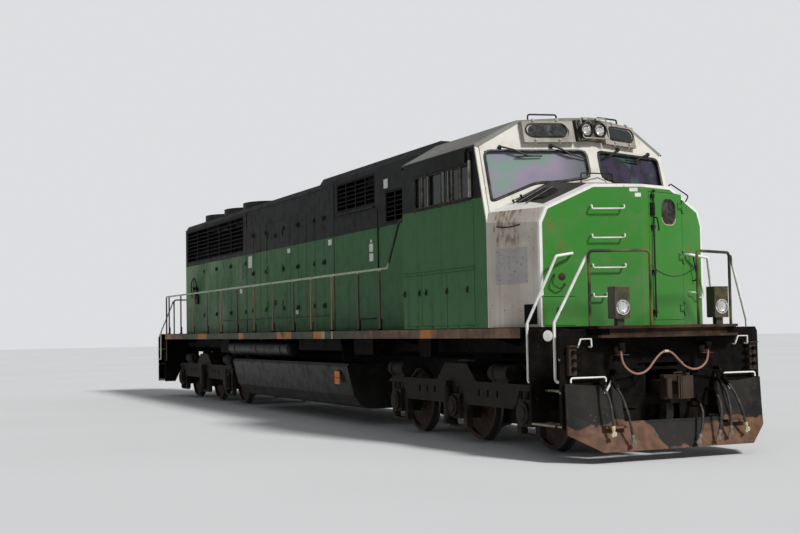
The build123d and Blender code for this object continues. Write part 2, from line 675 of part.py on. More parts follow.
def brake_wheel():
    """Handbrake wheel on the right side of the hood, near its rear."""
    wheel = BRAKE_WHEEL
    wall = -HOOD_HALF_W - PANEL_RISE
    y, z = -HOOD_HALF_W - wheel["out"], up(wheel["h"])
    rim = Pos(wheel["x"], y, z) * (Rot(90, 0, 0) * Torus(wheel["r"], wheel["bar"]))
    hub = rod((wheel["x"], wall, z), (wheel["x"], y - 20, z), 35)
    spokes = []
    for i in range(5):
        angle = radians(72 * i + 18)
        tip = (wheel["x"] + wheel["r"] * cos(angle), y, z + wheel["r"] * sin(angle))
        spokes.append(rod((wheel["x"], y, z), tip, 10))
    gear = box(wheel["x"] - 130, wheel["x"] + 130, wall - 50, wall, z - 410, z - 200)
    chain_guard = box(wheel["x"] - 30, wheel["x"] + 30, wall - 40, wall, z - 201, z)
    return fused(rim, hub, spokes, gear, chain_guard)


def build_hood():
    radiator = hood_shell(HOOD_REAR_X, HOOD_SPLIT_1, HOOD_TOP_H, HOOD_T, 0)
    radiator -= side_cut(RADIATOR_OPENING)
    engine = hood_shell(HOOD_SPLIT_1, HOOD_SPLIT_2, HOOD_TOP_H, 0, 0)
    leaves_x0 = LEAVES[0][1] - LEAF_GAP
    leaves_x1 = LEAVES[-1][2] + LEAF_GAP
    engine -= side_cut((leaves_x0, leaves_x1, LEAF_H[0] - LEAF_GAP, LEAF_H[1] + LEAF_GAP))
    riser = hood_shell(HOOD_STEP_X, HOOD_SPLIT_2, HOOD_HIGH_TOP_H, 0, 0)
    riser &= box(HOOD_STEP_X, HOOD_SPLIT_2, -1000, 1000, up(HOOD_TOP_H) - 300, up(HOOD_HIGH_TOP_H) + 10)
    inner = prism_x(hood_section(HOOD_HIGH_TOP_H, HOOD_T), HOOD_STEP_X + HOOD_T, HOOD_SPLIT_2)
    bulk = prism_x(hood_section(HOOD_HIGH_TOP_H), HOOD_STEP_X, HOOD_STEP_X + HOOD_T)
    bulk &= box(HOOD_STEP_X, HOOD_STEP_X + HOOD_T, -1000, 1000, up(HOOD_TOP_H) - HOOD_T,
                up(HOOD_HIGH_TOP_H) + 10)
    engine = fused(engine, riser, bulk) - inner
    stack = EXHAUST
    engine -= box(stack["x"] - stack["half_x"], stack["x"] + stack["half_x"], -stack["half_y"],
                  stack["half_y"], up(HOOD_TOP_H) - 150, up(HOOD_TOP_H) + 150)
    front = hood_shell(HOOD_SPLIT_2, CAB_REAR_X, HOOD_HIGH_TOP_H, 0, HOOD_T)
    front -= side_cut(GRID_OPENING)
    front -= side_cut(FILTER_OPENING)
    for leaf_row in LEAVES:
        engine = fused(engine, both(leaf_knuckles(*leaf_row)))
    for name, x, roof, rise in FANS:
        hole = rod((x, 0, up(roof) - 200), (x, 0, up(roof) + 50), FAN_HOLE_R)
        if name == "brake":
            front -= hole
        else:
            radiator -= hole
    write("hood_radiator", fused(radiator, door_panels("radiator")))
    write("hood_engine", fused(engine, door_panels("engine")))
    write("hood_front", fused(front, door_panels("front")))
    write("handbrake_wheel", brake_wheel())


def louvres(opening, depth, pitch, posts):
    """A frame with slats that fills one opening, at +Y."""
    x0, x1, low, high = opening
    y1 = HOOD_HALF_W
    y0 = y1 - depth
    z0, z1 = up(low), up(high)
    rim = 45
    frame = box(x0, x1, y0, y1, z0, z1) - box(x0 + rim, x1 - rim, y0 - 1, y1 + 1, z0 + rim, z1 - rim)
    slats = []
    count = int((high - low - 2 * rim) / pitch)
    step = (high - low - 2 * rim) / count
    for i in range(1, count):
        z = z0 + rim + i * step
        slats.append(box(x0 + rim / 2, x1 - rim / 2, y0 + 5, y1 - 8, z - 9, z + 9))
    for i in range(1, posts):
        x = x0 + (x1 - x0) * i / posts
        slats.append(box(x - 20, x + 20, y0 + 2, y1 - 4, z0 + rim / 2, z1 - rim / 2))
    return fused(frame, slats)


def build_grilles():
    radiator = louvres(RADIATOR_OPENING, 46, 95, 5)
    x0, x1, low, high = RADIATOR_OPENING
    core = prism_x([(HOOD_HALF_W - 60, up(low)), (HOOD_HALF_W - 60, up(low) + 60), (300, up(HOOD_TOP_H) - 250),
                    (180, up(HOOD_TOP_H) - 250), (HOOD_HALF_W - 200, up(low))], x0 + 50, x1 - 50)
    foot = box(x0 + 50, x1 - 50, HOOD_HALF_W - 210, HOOD_HALF_W - HOOD_T, up(low) - 40, up(low) + 6)
    sides = [radiator, louvres(GRID_OPENING, 46, 80, 4), louvres(FILTER_OPENING, 46, 80, 2), fused(core, foot)]
    write("hood_grilles", sides, [mirrored(piece) for piece in sides])


def fan_rotor(x, roof, rise):
    """A hub with eight pitched blades."""
    z = up(roof) + rise - 110
    hub = rod((x, 0, z - 60), (x, 0, z + 40), 150)
    mid = (FAN_BLADE_ROOT + FAN_BLADE_R) / 2
    blade = Pos(x + mid, 0, z) * (Rot(28, 0, 0) * Box(FAN_BLADE_R - FAN_BLADE_ROOT, 190, 12))
    blades = [blade.rotate(Axis((x, 0, 0), (0, 0, 1)), 45 * i) for i in range(8)]
    return fused(hub, blades)


def fan_housing(x, roof, rise):
    """Ring on the roof, guard over the blades, and the motor can on its arms."""
    top = up(roof) + rise
    base = top - 380
    ring = rod((x, 0, up(roof)), (x, 0, top), FAN_RING_R)
    throat = rod((x, 0, base), (x, 0, top), FAN_HOLE_R)
    bore = rod((x, 0, base - 10), (x, 0, top + 10), FAN_HOLE_R - 22)
    can_top = top - 170 - SEAT_GAP
    can = rod((x, 0, base - 120), (x, 0, can_top), 170)
    arms = [box(x - 655, x + 655, -20, 20, base, base + 60), box(x - 20, x + 20, -655, 655, base, base + 60)]
    guard = [box(x - 700, x + 700, y - 5, y + 5, top - 14, top - 2) for y in range(-600, 601, 100)
             if abs(y) > 1]
    guard = [bar & rod((x, 0, top - 20), (x, 0, top), FAN_HOLE_R + 10) for bar in guard]
    cross = [box(x - 9, x + 9, -660, 660, top - 26, top - 8), box(x - 660, x + 660, -9, 9, top - 26, top - 8)]
    return fused(fused(ring, throat) - bore, can, arms, guard, cross)


def build_fans():
    housings = []
    for name, x, roof, rise in FANS:
        write(f"fan_rotor_{name}", fan_rotor(x, roof, rise))
        housings.append(fan_housing(x, roof, rise))
    stack = EXHAUST
    x0, x1 = stack["x"] - stack["half_x"], stack["x"] + stack["half_x"]
    roof = up(HOOD_TOP_H)
    pipe = box(x0, x1, -stack["half_y"], stack["half_y"], roof - HOOD_T, roof + stack["top"])
    pipe -= box(x0 + 20, x1 - 20, 20 - stack["half_y"], stack["half_y"] - 20, roof - HOOD_T - 5,
                roof + stack["top"] + 5)
    write("roof_fan_housings", housings, pipe)


def build_engine():
    write("engine_block", box(-3800, 3200, -640, 640, up(DECK_H), up(3450)))


# Hood leaves

def leaf(x0, x1, hinge_at_rear):
    """Engine room door leaf at +Y, with its hinges and latch."""
    y1 = HOOD_HALF_W
    z0, z1 = up(LEAF_H[0]), up(LEAF_H[1])
    panel = box(x0, x1, y1 - LEAF_T, y1, z0, z1)
    edge = x0 if hinge_at_rear else x1
    away = 1 if hinge_at_rear else -1
    fittings = []
    for z in [up(height) for height in LEAF_PIN_H]:
        y = y1 + LEAF_PIN_OUT
        fittings.append(rod((edge, y, z - PIN_HALF), (edge, y, z + PIN_HALF), LEAF_PIN_R))
        strap = sorted((edge, edge + away * 70))
        fittings.append(box(*strap, y1 - 2, y1 + 6, z - 40, z + 40))
    latch = (x1 - 70, x1 - 30) if hinge_at_rear else (x0 + 30, x0 + 70)
    for z in (z0 + 300, z1 - 300):
        fittings.append(box(*latch, y1 - 2, y1 + 18, z - 50, z + 50))
    return fused(panel, fittings)


def build_leaves():
    for name, x0, x1, rear in LEAVES:
        shape = leaf(x0, x1, rear)
        write(f"hood_door_left_{name}", shape)
        write(f"hood_door_right_{name}", mirrored(shape))


# Cab and nose

# Windscreen outline (y, height) at +Y
WINDSCREEN = ((94, 3716), (94, 4098), (1450, 4104), (1450, 3395), (1400, 3400), (831, 3640), (510, 3655))
# Side windows (x0, x1, low, high)
SIDE_WINDOWS = ((6390, 6830, 3480, 3945), (6900, 7500, 3480, 3945), (7570, 8190, 3480, 3945))
NOSE_DOOR_S = (160, 900)      # along the nose front from the middle crease
NOSE_DOOR_H = (1725, 3420)
DOOR_GAP = 6
DOOR_T = 45
HINGE_OUT = 14                # hinge pin centre, outside the door's face
HINGE_PIN_R = 11
FRAME_OUT = 12                # window frames stand out of the cab side
FRAME_LAP = 20                # and lap over it round each window
# Bars in the side windows and the wind blades beside them: (x, half width, inner y, outer y), y from the cab side
WINDOW_BARS = ((6600, 10, -26, 0), (7300, 14, -26, 0), (7600, 12, -26, 0), (7860, 10, -26, 0), (8245, 15, -2, 45))
# Sun visor over the side windows (x, height)
VISOR = ((6080, 4166), (6340, 3965), (8140, 3965), (8140, 4166))
VISOR_OUT = 45
REAR_DOOR_Y = (985, 1455)
REAR_DOOR_H = (2170, 3960)
REAR_PIN_H = (2370, 3760)
NOSE_PIN_H = (1880, 2570, 3260)


def front_volume(shift=0):
    """Everything behind the cab's front face, moved forward by shift."""
    run = CAB_CORNER_X + shift
    tip = run + FRONT_V * CAB_HALF_W
    plan = [(5000, -CAB_HALF_W), (run, -CAB_HALF_W), (tip, 0), (run, CAB_HALF_W), (5000, CAB_HALF_W)]
    knee = up(CAB_KNEE_H)
    low = prism_z(plan, up(DECK_H), knee)
    rise = 1700
    lean = Vector(-FRONT_LEAN * rise, 0, rise)
    high = Solid.extrude(polygon(Plane.XY.offset(knee), plan).face(), lean)
    return fused(low, high)


def front_slab(back, front, window):
    """A plate parallel to the cab's front face, cut to a (y, height) outline."""
    plate = front_volume(front) - front_volume(back)
    return plate & prism_x([(y, up(h)) for y, h in window], 8000, 9600)


def roof_section(inset=0):
    half = [(CAB_HALF_W - inset, up(CAB_SHOULDER_H) - inset * 0.6), (CAB_ROOF_EDGE_Y, up(CAB_ROOF_H) - inset),
            (CAB_CROWN_Y, up(CAB_CROWN_H) - inset)]
    return half + [(-y, z) for y, z in reversed(half)]


def knuckle_spans(pin_heights):
    """Low and high z of the fixed knuckles above and below each pin."""
    reach = PIN_HALF + SEAT_GAP
    spans = []
    for height in pin_heights:
        spans.append((up(height) - reach - KNUCKLE, up(height) - reach))
        spans.append((up(height) + reach, up(height) + reach + KNUCKLE))
    return spans


def window_trim():
    """Frames, bars and visor of the side windows, at +Y."""
    pieces = []
    for x0, x1, low, high in SIDE_WINDOWS:
        rim = box(x0 - FRAME_LAP, x1 + FRAME_LAP, CAB_HALF_W - 5, CAB_HALF_W + FRAME_OUT, up(low) - FRAME_LAP,
                  up(high) + FRAME_LAP)
        pieces.append(rim - box(x0 + 8, x1 - 8, CAB_HALF_W - 10, CAB_HALF_W + FRAME_OUT + 5, up(low) + 8, up(high) - 8))
    low, high = SIDE_WINDOWS[0][2:]
    for x, half, inner, outer in WINDOW_BARS:
        top = high + 170 if outer > 0 else high + 5
        pieces.append(box(x - half, x + half, CAB_HALF_W + inner, CAB_HALF_W + outer, up(low) - 5, up(top)))
    pieces.append(prism_y([(x, up(h)) for x, h in VISOR], CAB_HALF_W - 5, CAB_HALF_W + VISOR_OUT))
    return pieces


def build_cab():
    deck = up(DECK_H)
    inner_y = CAB_HALF_W - CAB_T
    side = prism_y([(CAB_REAR_X, deck), (CAB_CORNER_X, deck), (CAB_CORNER_X, up(CAB_KNEE_H)),
                    (CAB_CORNER_X - FRONT_LEAN * (CAB_SHOULDER_H - 36 - CAB_KNEE_H), up(CAB_SHOULDER_H) - 36),
                    (CAB_REAR_X, up(CAB_SHOULDER_H) - 36)], inner_y, CAB_HALF_W)
    for x0, x1, low, high in SIDE_WINDOWS:
        side -= box(x0, x1, inner_y - 5, CAB_HALF_W + 5, up(low), up(high))
    side = fused(side, window_trim())
    write("cab_side_left", side)
    write("cab_side_right", mirrored(side))

    roof_cap = [(CAB_HALF_W, up(CAB_SHOULDER_H) - 36)]
    outer = roof_cap + roof_section() + [(-y, z) for y, z in roof_cap]
    under = [(inner_y, up(CAB_SHOULDER_H) - 37)] + roof_section(CAB_T) + [(-inner_y, up(CAB_SHOULDER_H) - 37)]
    roof = prism_x(outer, CAB_REAR_X, 9200) - prism_x(under, CAB_REAR_X - 10, 9300)
    roof &= front_volume()
    write("cab_roof", roof)

    within = prism_x([(inner_y, up(CAB_FLOOR_H)), (inner_y, up(CAB_SHOULDER_H) - 37)] + roof_section(CAB_T)
                     + [(-inner_y, up(CAB_SHOULDER_H) - 37), (-inner_y, up(CAB_FLOOR_H))], 8000, 9600)
    front = (front_volume() - front_volume(-CAB_T)) & within
    front -= box(8000, 9600, -330, 330, up(CAB_FLOOR_H) - 5, up(3560))
    screens = prism_x([(y, up(h)) for y, h in WINDSCREEN], 8000, 9600)
    front = front - screens - mirrored(screens)
    write("cab_front", front)

    floor = box(CAB_REAR_X + CAB_T, 9300, -inner_y, inner_y, up(CAB_FLOOR_H) - 60, up(CAB_FLOOR_H))
    floor &= front_volume()
    write("cab_floor", floor)

    rear_outline = [(inner_y, deck), (inner_y, up(CAB_SHOULDER_H) - 37)] + roof_section(CAB_T)
    rear_outline += [(-inner_y, up(CAB_SHOULDER_H) - 37), (-inner_y, deck)]
    rear = prism_x(rear_outline, CAB_REAR_X, CAB_REAR_X + CAB_T)
    y0, y1 = REAR_DOOR_Y
    for side_sign in (1, -1):
        low, high = sorted((side_sign * (y0 - DOOR_GAP), side_sign * (y1 + DOOR_GAP)))
        rear -= box(CAB_REAR_X - 5, CAB_REAR_X + CAB_T + 5, low, high,
                    up(REAR_DOOR_H[0]) - DOOR_GAP, up(REAR_DOOR_H[1]) + DOOR_GAP)
    axis_x = CAB_REAR_X - HINGE_OUT
    for low, high in knuckle_spans(REAR_PIN_H):
        lug = box(axis_x - 6, CAB_REAR_X + 5, y0 - DOOR_GAP - 24, y0 - DOOR_GAP, low, high)
        rear = fused(rear, both(fused(lug, rod((axis_x, y0, low), (axis_x, y0, high), 8))))
    write("cab_rear", rear)


def build_cab_doors():
    """Doors in the cab's rear wall, hinged beside the hood."""
    y0, y1 = REAR_DOOR_Y
    z0, z1 = up(REAR_DOOR_H[0]), up(REAR_DOOR_H[1])
    leaf_shape = box(CAB_REAR_X, CAB_REAR_X + DOOR_T, y0, y1, z0, z1)
    leaf_shape -= box(CAB_REAR_X - 5, CAB_REAR_X + DOOR_T + 5, y0 + 90, y1 - 90, z1 - 620, z1 - 120)
    pane = box(CAB_REAR_X + 15, CAB_REAR_X + 27, y0 + 90, y1 - 90, z1 - 620, z1 - 120)
    pins = []
    for z in [up(height) for height in REAR_PIN_H]:
        axis_x = CAB_REAR_X - HINGE_OUT
        pins.append(rod((axis_x, y0, z - PIN_HALF), (axis_x, y0, z + PIN_HALF), HINGE_PIN_R))
        pins.append(box(CAB_REAR_X - HINGE_OUT, CAB_REAR_X + 2, y0, y0 + 60, z - 45, z + 45))
    handle = rod((CAB_REAR_X - 26, y1 - 60, z0 + 900), (CAB_REAR_X + 2, y1 - 60, z0 + 900), 9)
    grip = rod((CAB_REAR_X - 26, y1 - 160, z0 + 900), (CAB_REAR_X - 26, y1 - 50, z0 + 900), 9)
    door = fused(leaf_shape, pane, pins, handle, grip)
    write("cab_door_left", door)
    write("cab_door_right", mirrored(door))


NOSE_V = (NOSE_TIP_X - NOSE_CORNER_X) / NOSE_CORNER_Y     # run back per unit of half width
# Nose roof: planes (x, y, height, slope in x, slope in y) at +Y
NOSE_ROOF = (
    (10046, 0, 3507, -0.133, -0.031),
    (9817, 602, 3519, -0.168, -0.537),
    (9657, 1218, 3215, -0.813, -2.717),
)


def roof_plane_cut(x, y, height, slope_x, slope_y, inset):
    """A thick slab above one plane of the nose roof, at +Y."""
    normal = Vector(-slope_x, -slope_y, 1).normalized()
    origin = Vector(x, y, up(height)) - normal * inset
    return extrude(Plane(origin=origin, z_dir=normal) * Rectangle(6000, 6000), 1500)


def nose_volume(inset=0):
    """The nose between its front faces, its sides and its roof, drawn in by inset."""
    step = inset * hypot(1, NOSE_V)
    side_run = (CAB_HALF_W - NOSE_CORNER_Y) / (NOSE_CORNER_X - CAB_CORNER_X)
    back_x = 8000
    back_y = CAB_HALF_W - inset * hypot(1, side_run)
    corner_y = NOSE_CORNER_Y - inset
    corner_x = NOSE_TIP_X - step - NOSE_V * corner_y
    plan = [(back_x, 0), (back_x, back_y), (CAB_CORNER_X, back_y), (corner_x, corner_y), (NOSE_TIP_X - step, 0)]
    half = prism_z(plan, up(DECK_H) - (5 if inset else 0), up(3900))
    for plane in NOSE_ROOF:
        half -= roof_plane_cut(*plane, inset)
    return half


def nose_front_plane(s, height, depth=0):
    """Frame on the left half of the nose front: x along the wall, y up, z outward."""
    along = Vector(-NOSE_V, 1, 0).normalized()
    out = Vector(1, NOSE_V, 0).normalized()
    origin = Vector(NOSE_TIP_X, 0, up(height)) + along * s - out * depth
    return Plane(origin=origin, x_dir=along, z_dir=out)


def wall_block(s0, s1, low, high, depth0, depth1):
    """A block set on the left half of the nose front, from depth1 inside to depth0."""
    plane = nose_front_plane((s0 + s1) / 2, (low + high) / 2, depth1)
    return extrude(plane * Rectangle(s1 - s0, high - low), depth1 - depth0)


def build_nose():
    outer = nose_volume()
    shell = outer - nose_volume(NOSE_T)
    shell = shell - front_volume() - box(8000, 12000, -2000, 0, 0, 5000)
    s0, s1 = NOSE_DOOR_S
    opening = wall_block(s0 - DOOR_GAP, s1 + DOOR_GAP, NOSE_DOOR_H[0] - DOOR_GAP,
                         NOSE_DOOR_H[1] + DOOR_GAP, -100, 250)
    left = shell - opening
    for low, high in knuckle_spans(NOSE_PIN_H):
        height = (low + high) / 2 - FLANGE_DEPTH
        foot = nose_front_plane(s1, height - KNUCKLE / 2, -HINGE_OUT).origin
        left = fused(left, rod(tuple(foot), (foot.X, foot.Y, foot.Z + KNUCKLE), 8),
                     wall_block(s1 + DOOR_GAP, s1 + 50, height - KNUCKLE / 2, height + KNUCKLE / 2,
                                -HINGE_OUT - 5, 5))
    right = mirrored(shell)
    write("nose_shell", fused(left, right))

    door = wall_block(s0, s1, *NOSE_DOOR_H, 0, DOOR_T)
    door -= nose_window()
    pane = nose_window() & wall_block(s0, s1, *NOSE_DOOR_H, 15, 28)
    pins = []
    for height in NOSE_PIN_H:
        plane = nose_front_plane(s1, height - PIN_HALF, -HINGE_OUT)
        start = plane.origin
        pins.append(rod(tuple(start), (start.X, start.Y, start.Z + 2 * PIN_HALF), HINGE_PIN_R))
        pins.append(wall_block(s1 - 90, s1, height - 45, height + 45, -HINGE_OUT, 2))
    write("nose_door", fused(door, pane, pins))


def nose_window():
    """The round-cornered window opening through the nose door."""
    plane = nose_front_plane(598, 3170, 200)
    return extrude(plane * RectangleRounded(285, 320, 105), 400)


def build_glass():
    screen = front_slab(-40, -28, WINDSCREEN)
    panes = both(screen)
    for x0, x1, low, high in SIDE_WINDOWS:
        panes += both(box(x0, x1, CAB_HALF_W - 40, CAB_HALF_W - 28, up(low), up(high)))
    write("cab_glass", panes)


# Lamps

BOARD_Y = (250, 930)
BOARD_H = (4215, 4525)
BOARD_PANE = (552, 192, 92)   # width, height and corner of the glass


def build_lamps():
    y0, y1 = BOARD_Y
    low, high = BOARD_H
    housing = front_slab(0, 90, ((y0, low), (y0, high), (y1, high), (y1, low)))
    width, height, corner = BOARD_PANE
    middle = Plane.YZ.offset(8000) * Pos((y0 + y1) / 2, (up(low) + up(high)) / 2)
    pane = extrude(middle * RectangleRounded(width, height, corner), 1600, dir=(1, 0, 0))
    board = housing - ((front_volume(100) - front_volume(70)) & pane)
    glass = (front_volume(82) - front_volume(70)) & pane
    head = front_slab(0, 110, ((-215, 4235), (-215, 4540), (215, 4540), (215, 4235)))
    lamps = []
    lenses = [glass, mirrored(glass)]
    head_x = CAB_CORNER_X - FRONT_LEAN * (4390 - CAB_KNEE_H) + FRONT_V * CAB_HALF_W + 100
    for y in (-108, 108):
        head -= rod((head_x - 60, y, up(4390)), (head_x + 200, y, up(4390)), 88)
        lenses.append(rod((head_x - 60, y, up(4390)), (head_x - 35, y, up(4390)), 88))
    lamps += [board, mirrored(board), head]
    for y in (-760, 760):
        case = box(10500, 10665, y - 105, y + 105, up(1740), up(2130))
        case -= rod((10640, y, up(1880)), (10700, y, up(1880)), 80)
        foot = box(10540, 10620, y - 50, y + 50, up(DECK_H), up(1741))
        lamps.append(fused(case, foot))
        lenses.append(rod((10640, y, up(1880)), (10655, y, up(1880)), 80))
    rear_x = HOOD_REAR_X
    tail = box(rear_x - 90, rear_x, -220, 220, up(4130), up(4400))
    for y in (-108, 108):
        tail -= rod((rear_x - 40, y, up(4265)), (rear_x - 200, y, up(4265)), 88)
        lenses.append(rod((rear_x - 65, y, up(4265)), (rear_x - 40, y, up(4265)), 88))
    lamps.append(tail)
    write("lamp_housings", lamps)
    write("lamp_lenses", lenses)


# Handrails

RAIL_R = 20
RAIL_Y = 1500
RAIL_H = 2650
POSTS_X = (-9300, -8060, -6820, -5560, -4350, -3100, -1850, -610, 630, 1620, 2690, 3930, 4840)
# Side rail (x, height), up from the rear step well and along to the cab's rear wall
SIDE_RAIL = ((-9660, 950), (-9590, 950), (-9590, RAIL_H), (5170, RAIL_H), (5650, 3350), (5820, 3400),
             (CAB_REAR_X, 3400))
REAR_END_POSTS = ((10400, 1090), (10400, 430))
END_RAIL_H = 2590
END_POSTS = ((10432, 1090), (10700, 362))   # (x, y), outer and inner


def side_rails():
    y = RAIL_Y
    points = [(x, y, up(h)) for x, h in SIDE_RAIL]
    rail = bent_tube(points, RAIL_R, 60)
    posts = [box(x - 22, x + 22, y - 14, y + 14, up(DECK_H), up(RAIL_H)) for x in POSTS_X]
    return fused(rail, posts)


def end_rails(end_posts, front):
    """Rails of one end at +Y: posts, top rail and the stair rails."""
    (xo, yo), (xi, yi) = end_posts
    deck, top = up(DECK_H), up(END_RAIL_H)
    r = 19
    loop = bent_tube([(xo, yo, deck), (xo, yo, top), (xi, yi, top), (xi, yi, deck)], r, 60)
    out_y = RAIL_Y
    front_stair = bent_tube([(xo, yo + r, top - 40), (10250, out_y, up(1700)), (10250, out_y, up(970)),
                             (PLATFORM_END_X, out_y, up(970))], r, 60)
    pieces = [fused(loop, front_stair)]
    if front:
        wall = nose_front_plane(960, 2600)
        start = wall.origin
        clear = start + wall.z_dir * 80
        rear_stair = bent_tube([tuple(start), tuple(clear), (9850, 1200, up(2560)), (9590, out_y, up(1700)),
                                (9590, out_y, up(950)), (STEP_WELL_X - PILOT_T, out_y, up(950))], r, 30)
        pieces.append(rear_stair)
    return pieces


def roof_height(y):
    """Height of the cab roof between its edge and its crown."""
    share = (CAB_ROOF_EDGE_Y - y) / (CAB_ROOF_EDGE_Y - CAB_CROWN_Y)
    return CAB_ROOF_H + (CAB_CROWN_H - CAB_ROOF_H) * share


def build_rails():
    write("handrails_side", both(side_rails()))
    front = end_rails(END_POSTS, True)
    rear = [turned(piece) for piece in end_rails(REAR_END_POSTS, False)]
    pieces = front + rear + [roof_grab()]
    grabs = [mirrored(nose_grab(*row)) for row in NOSE_GRABS]
    rungs = [rear_rung(height) for height in RUNG_H]
    write("handrails_end", pieces, [mirrored(piece) for piece in pieces], grabs, rungs)


# Grab irons on the right of the nose: (inner y, outer y, height)
NOSE_GRABS = ((240, 650, 3180), (240, 650, 2800), (240, 650, 2410), (480, 650, 2030))
GRAB_R = 10
GRAB_OUT = 75
# Ladder rungs on the hood's rear end: height of each, between two y
RUNG_H = range(2050, 4100, 380)
RUNG_Y = (430, 830)


def nose_grab(y0, y1, height):
    """A bar below its own feet, drawn at +Y."""
    feet = [nose_front_plane(y * hypot(1, NOSE_V), height + 45) for y in (y0, y1)]
    drop = Vector(0, 0, -45)
    starts = [foot.origin for foot in feet]
    outs = [foot.origin + foot.z_dir * GRAB_OUT for foot in feet]
    points = [starts[0], outs[0], outs[0] + drop, outs[1] + drop, outs[1], starts[1]]
    return bent_tube([tuple(point) for point in points], GRAB_R, 20)


def rear_rung(height):
    y0, y1 = RUNG_Y
    x = HOOD_REAR_X
    points = [(x, y0, up(height) + 40), (x - 70, y0, up(height) + 40), (x - 70, y0, up(height)),
              (x - 70, y1, up(height)), (x - 70, y1, up(height) + 40), (x, y1, up(height) + 40)]
    return bent_tube(points, GRAB_R, 18)


def roof_grab():
    """Grab rail over the windscreen, on the roof at +Y."""
    (x0, y0), (x1, y1) = (8540, 340), (8440, 747)
    top = up(4650)
    return bent_tube([(x0, y0, up(roof_height(y0)) + 1), (x0, y0, top), (x1, y1, top),
                      (x1, y1, up(roof_height(y1)) + 1)], 12, 30)


# Cab interior

def seat(y):
    """Driver's seat on a pedestal, facing forward."""
    floor = up(CAB_FLOOR_H)
    base = rod((7500, y, floor), (7500, y, floor + 400), 60)
    plinth = rod((7500, y, floor), (7500, y, floor + 30), 200)
    cushion = box(7280, 7760, y - 240, y + 240, floor + 400, floor + 500)
    back = box(7230, 7320, y - 230, y + 230, floor + 480, floor + 1080)
    return fused(base, plinth, cushion, back)


def build_interior():
    floor = up(CAB_FLOOR_H)
    desk = prism_y([(8120, floor), (8420, floor), (8420, floor + 900), (8120, floor + 780)], -1350, -500)
    stand = box(7900, 8121, -500, -380, floor, floor + 950)
    second = prism_y([(8150, floor), (8420, floor), (8420, floor + 850), (8150, floor + 780)], 520, 1350)
    write("cab_seats", seat(-930), seat(930))
    write("control_desk", fused(desk, stand), second)


# Hoses and cable at the front end

HOSE_R = 17
# Front hoses, from the cock to the coupling: number -> points (x, y, height)
HOSES = {
    1: ((10600, -1036, 905), (10685, -1035, 830), (10750, -1033, 705), (10782, -1030, 555), (10782, -1022, 410)),
    2: ((10600, -855, 905), (10688, -845, 825), (10750, -825, 700), (10790, -800, 550), (10805, -775, 400),
        (10800, -755, 290)),
    3: ((10590, 420, 655), (10680, 395, 590), (10745, 350, 470), (10780, 300, 340), (10790, 262, 250)),
    4: ((10640, 655, 775), (10715, 645, 690), (10775, 620, 560), (10800, 585, 410), (10800, 556, 290)),
    5: ((10600, 760, 905), (10685, 758, 828), (10750, 755, 705), (10785, 752, 560), (10792, 750, 425),
        (10785, 750, 336)),
    6: ((10600, 860, 905), (10684, 872, 830), (10745, 898, 710), (10782, 930, 580), (10795, 962, 460),
        (10788, 990, 372)),
}
COCK_R = 26
COCK_PIPE_R = 22
CABLE_R = 14
CABLE_X = 10660
# Draped jumper cable between its two sockets: (y, height)
CABLE = ((-800, 1345), (-800, 1220), (-705, 1100), (-560, 1040), (-410, 1090), (-310, 1210), (-225, 1290),
         (-155, 1325), (-85, 1325), (-15, 1290), (70, 1205), (160, 1125), (290, 1080), (430, 1112),
         (525, 1215), (525, 1340))
CABLE_CLIP_Y = -120
CABLE_TOP_H = 1325
CABLE_CLIP_GAP = 1.2    # under the crest of the cable, less at the hook's edges


def hose_points(number):
    return [Vector(x, y, up(h)) for x, y, h in HOSES[number]]


def cock(number):
    """The angle cock that a hose hangs from, with its pipe out of the pilot."""
    start, after = hose_points(number)[:2]
    out = (after - start).normalized()
    elbow = start - out * 62
    pipe = rod((PLATFORM_END_X + PILOT_T, elbow.Y, elbow.Z), tuple(elbow), COCK_PIPE_R)
    handle = box(elbow.X - 14, elbow.X + 14, elbow.Y - 12, elbow.Y + 12, elbow.Z, elbow.Z + 70)
    return fused(pipe, rod(tuple(elbow), tuple(start), COCK_R), Pos(*elbow) * Sphere(30), handle)


def cable_holders():
    """Sockets at the cable's ends and the hook under its middle."""
    plate = PLATFORM_END_X + PILOT_T
    pieces = []
    for y, h in (CABLE[0], CABLE[-1]):
        pieces.append(rod((CABLE_X, y, up(h)), (CABLE_X, y, up(h) + 70), 38))
        pieces.append(box(plate, CABLE_X + 30, y - 40, y + 40, up(h) + 50, up(h) + 95))
    y, top = CABLE_CLIP_Y, up(CABLE_TOP_H) - CABLE_R - CABLE_CLIP_GAP
    pieces.append(box(plate, CABLE_X + 20, y - 15, y + 15, top - 25, top))
    return pieces


def corner_radii(points, share=0.45):
    """Largest arcs that the runs of a route leave room for."""
    radii = []
    for a, b, c in zip(points, points[1:], points[2:]):
        first, second = b - a, c - b
        turn = radians(first.get_angle(second))
        radii.append(share * min(first.length, second.length) / tan(turn / 2))
    return radii


def routed_tube(points, r):
    """A hose along a route, on straight runs joined by the largest tangent arcs, and its path."""
    radii = corner_radii(points)
    path = FilletPolyline(*points, radius=radii)
    tube = sweep(Plane(origin=path @ 0, z_dir=path % 0) * Circle(r), path)
    print("tube", round(tube.volume / (pi * r * r * path.length), 4), "length", round(path.length),
          "radii", [round(v) for v in radii])
    return tube, path


def glad_hand(path):
    """The coupling on the end of a hose: collar and hooked flat head."""
    end = Plane(origin=path @ 1, x_dir=(1, 0, 0), z_dir=path % 1)
    collar = end * (Pos(0, 0, 25) * Cylinder(24, 50))
    head = end * (Pos(0, 0, 65) * Box(34, 84, 50))
    lip = end * (Pos(-8, 34, 92) * Box(18, 26, 24))
    return fused(collar, head, lip)


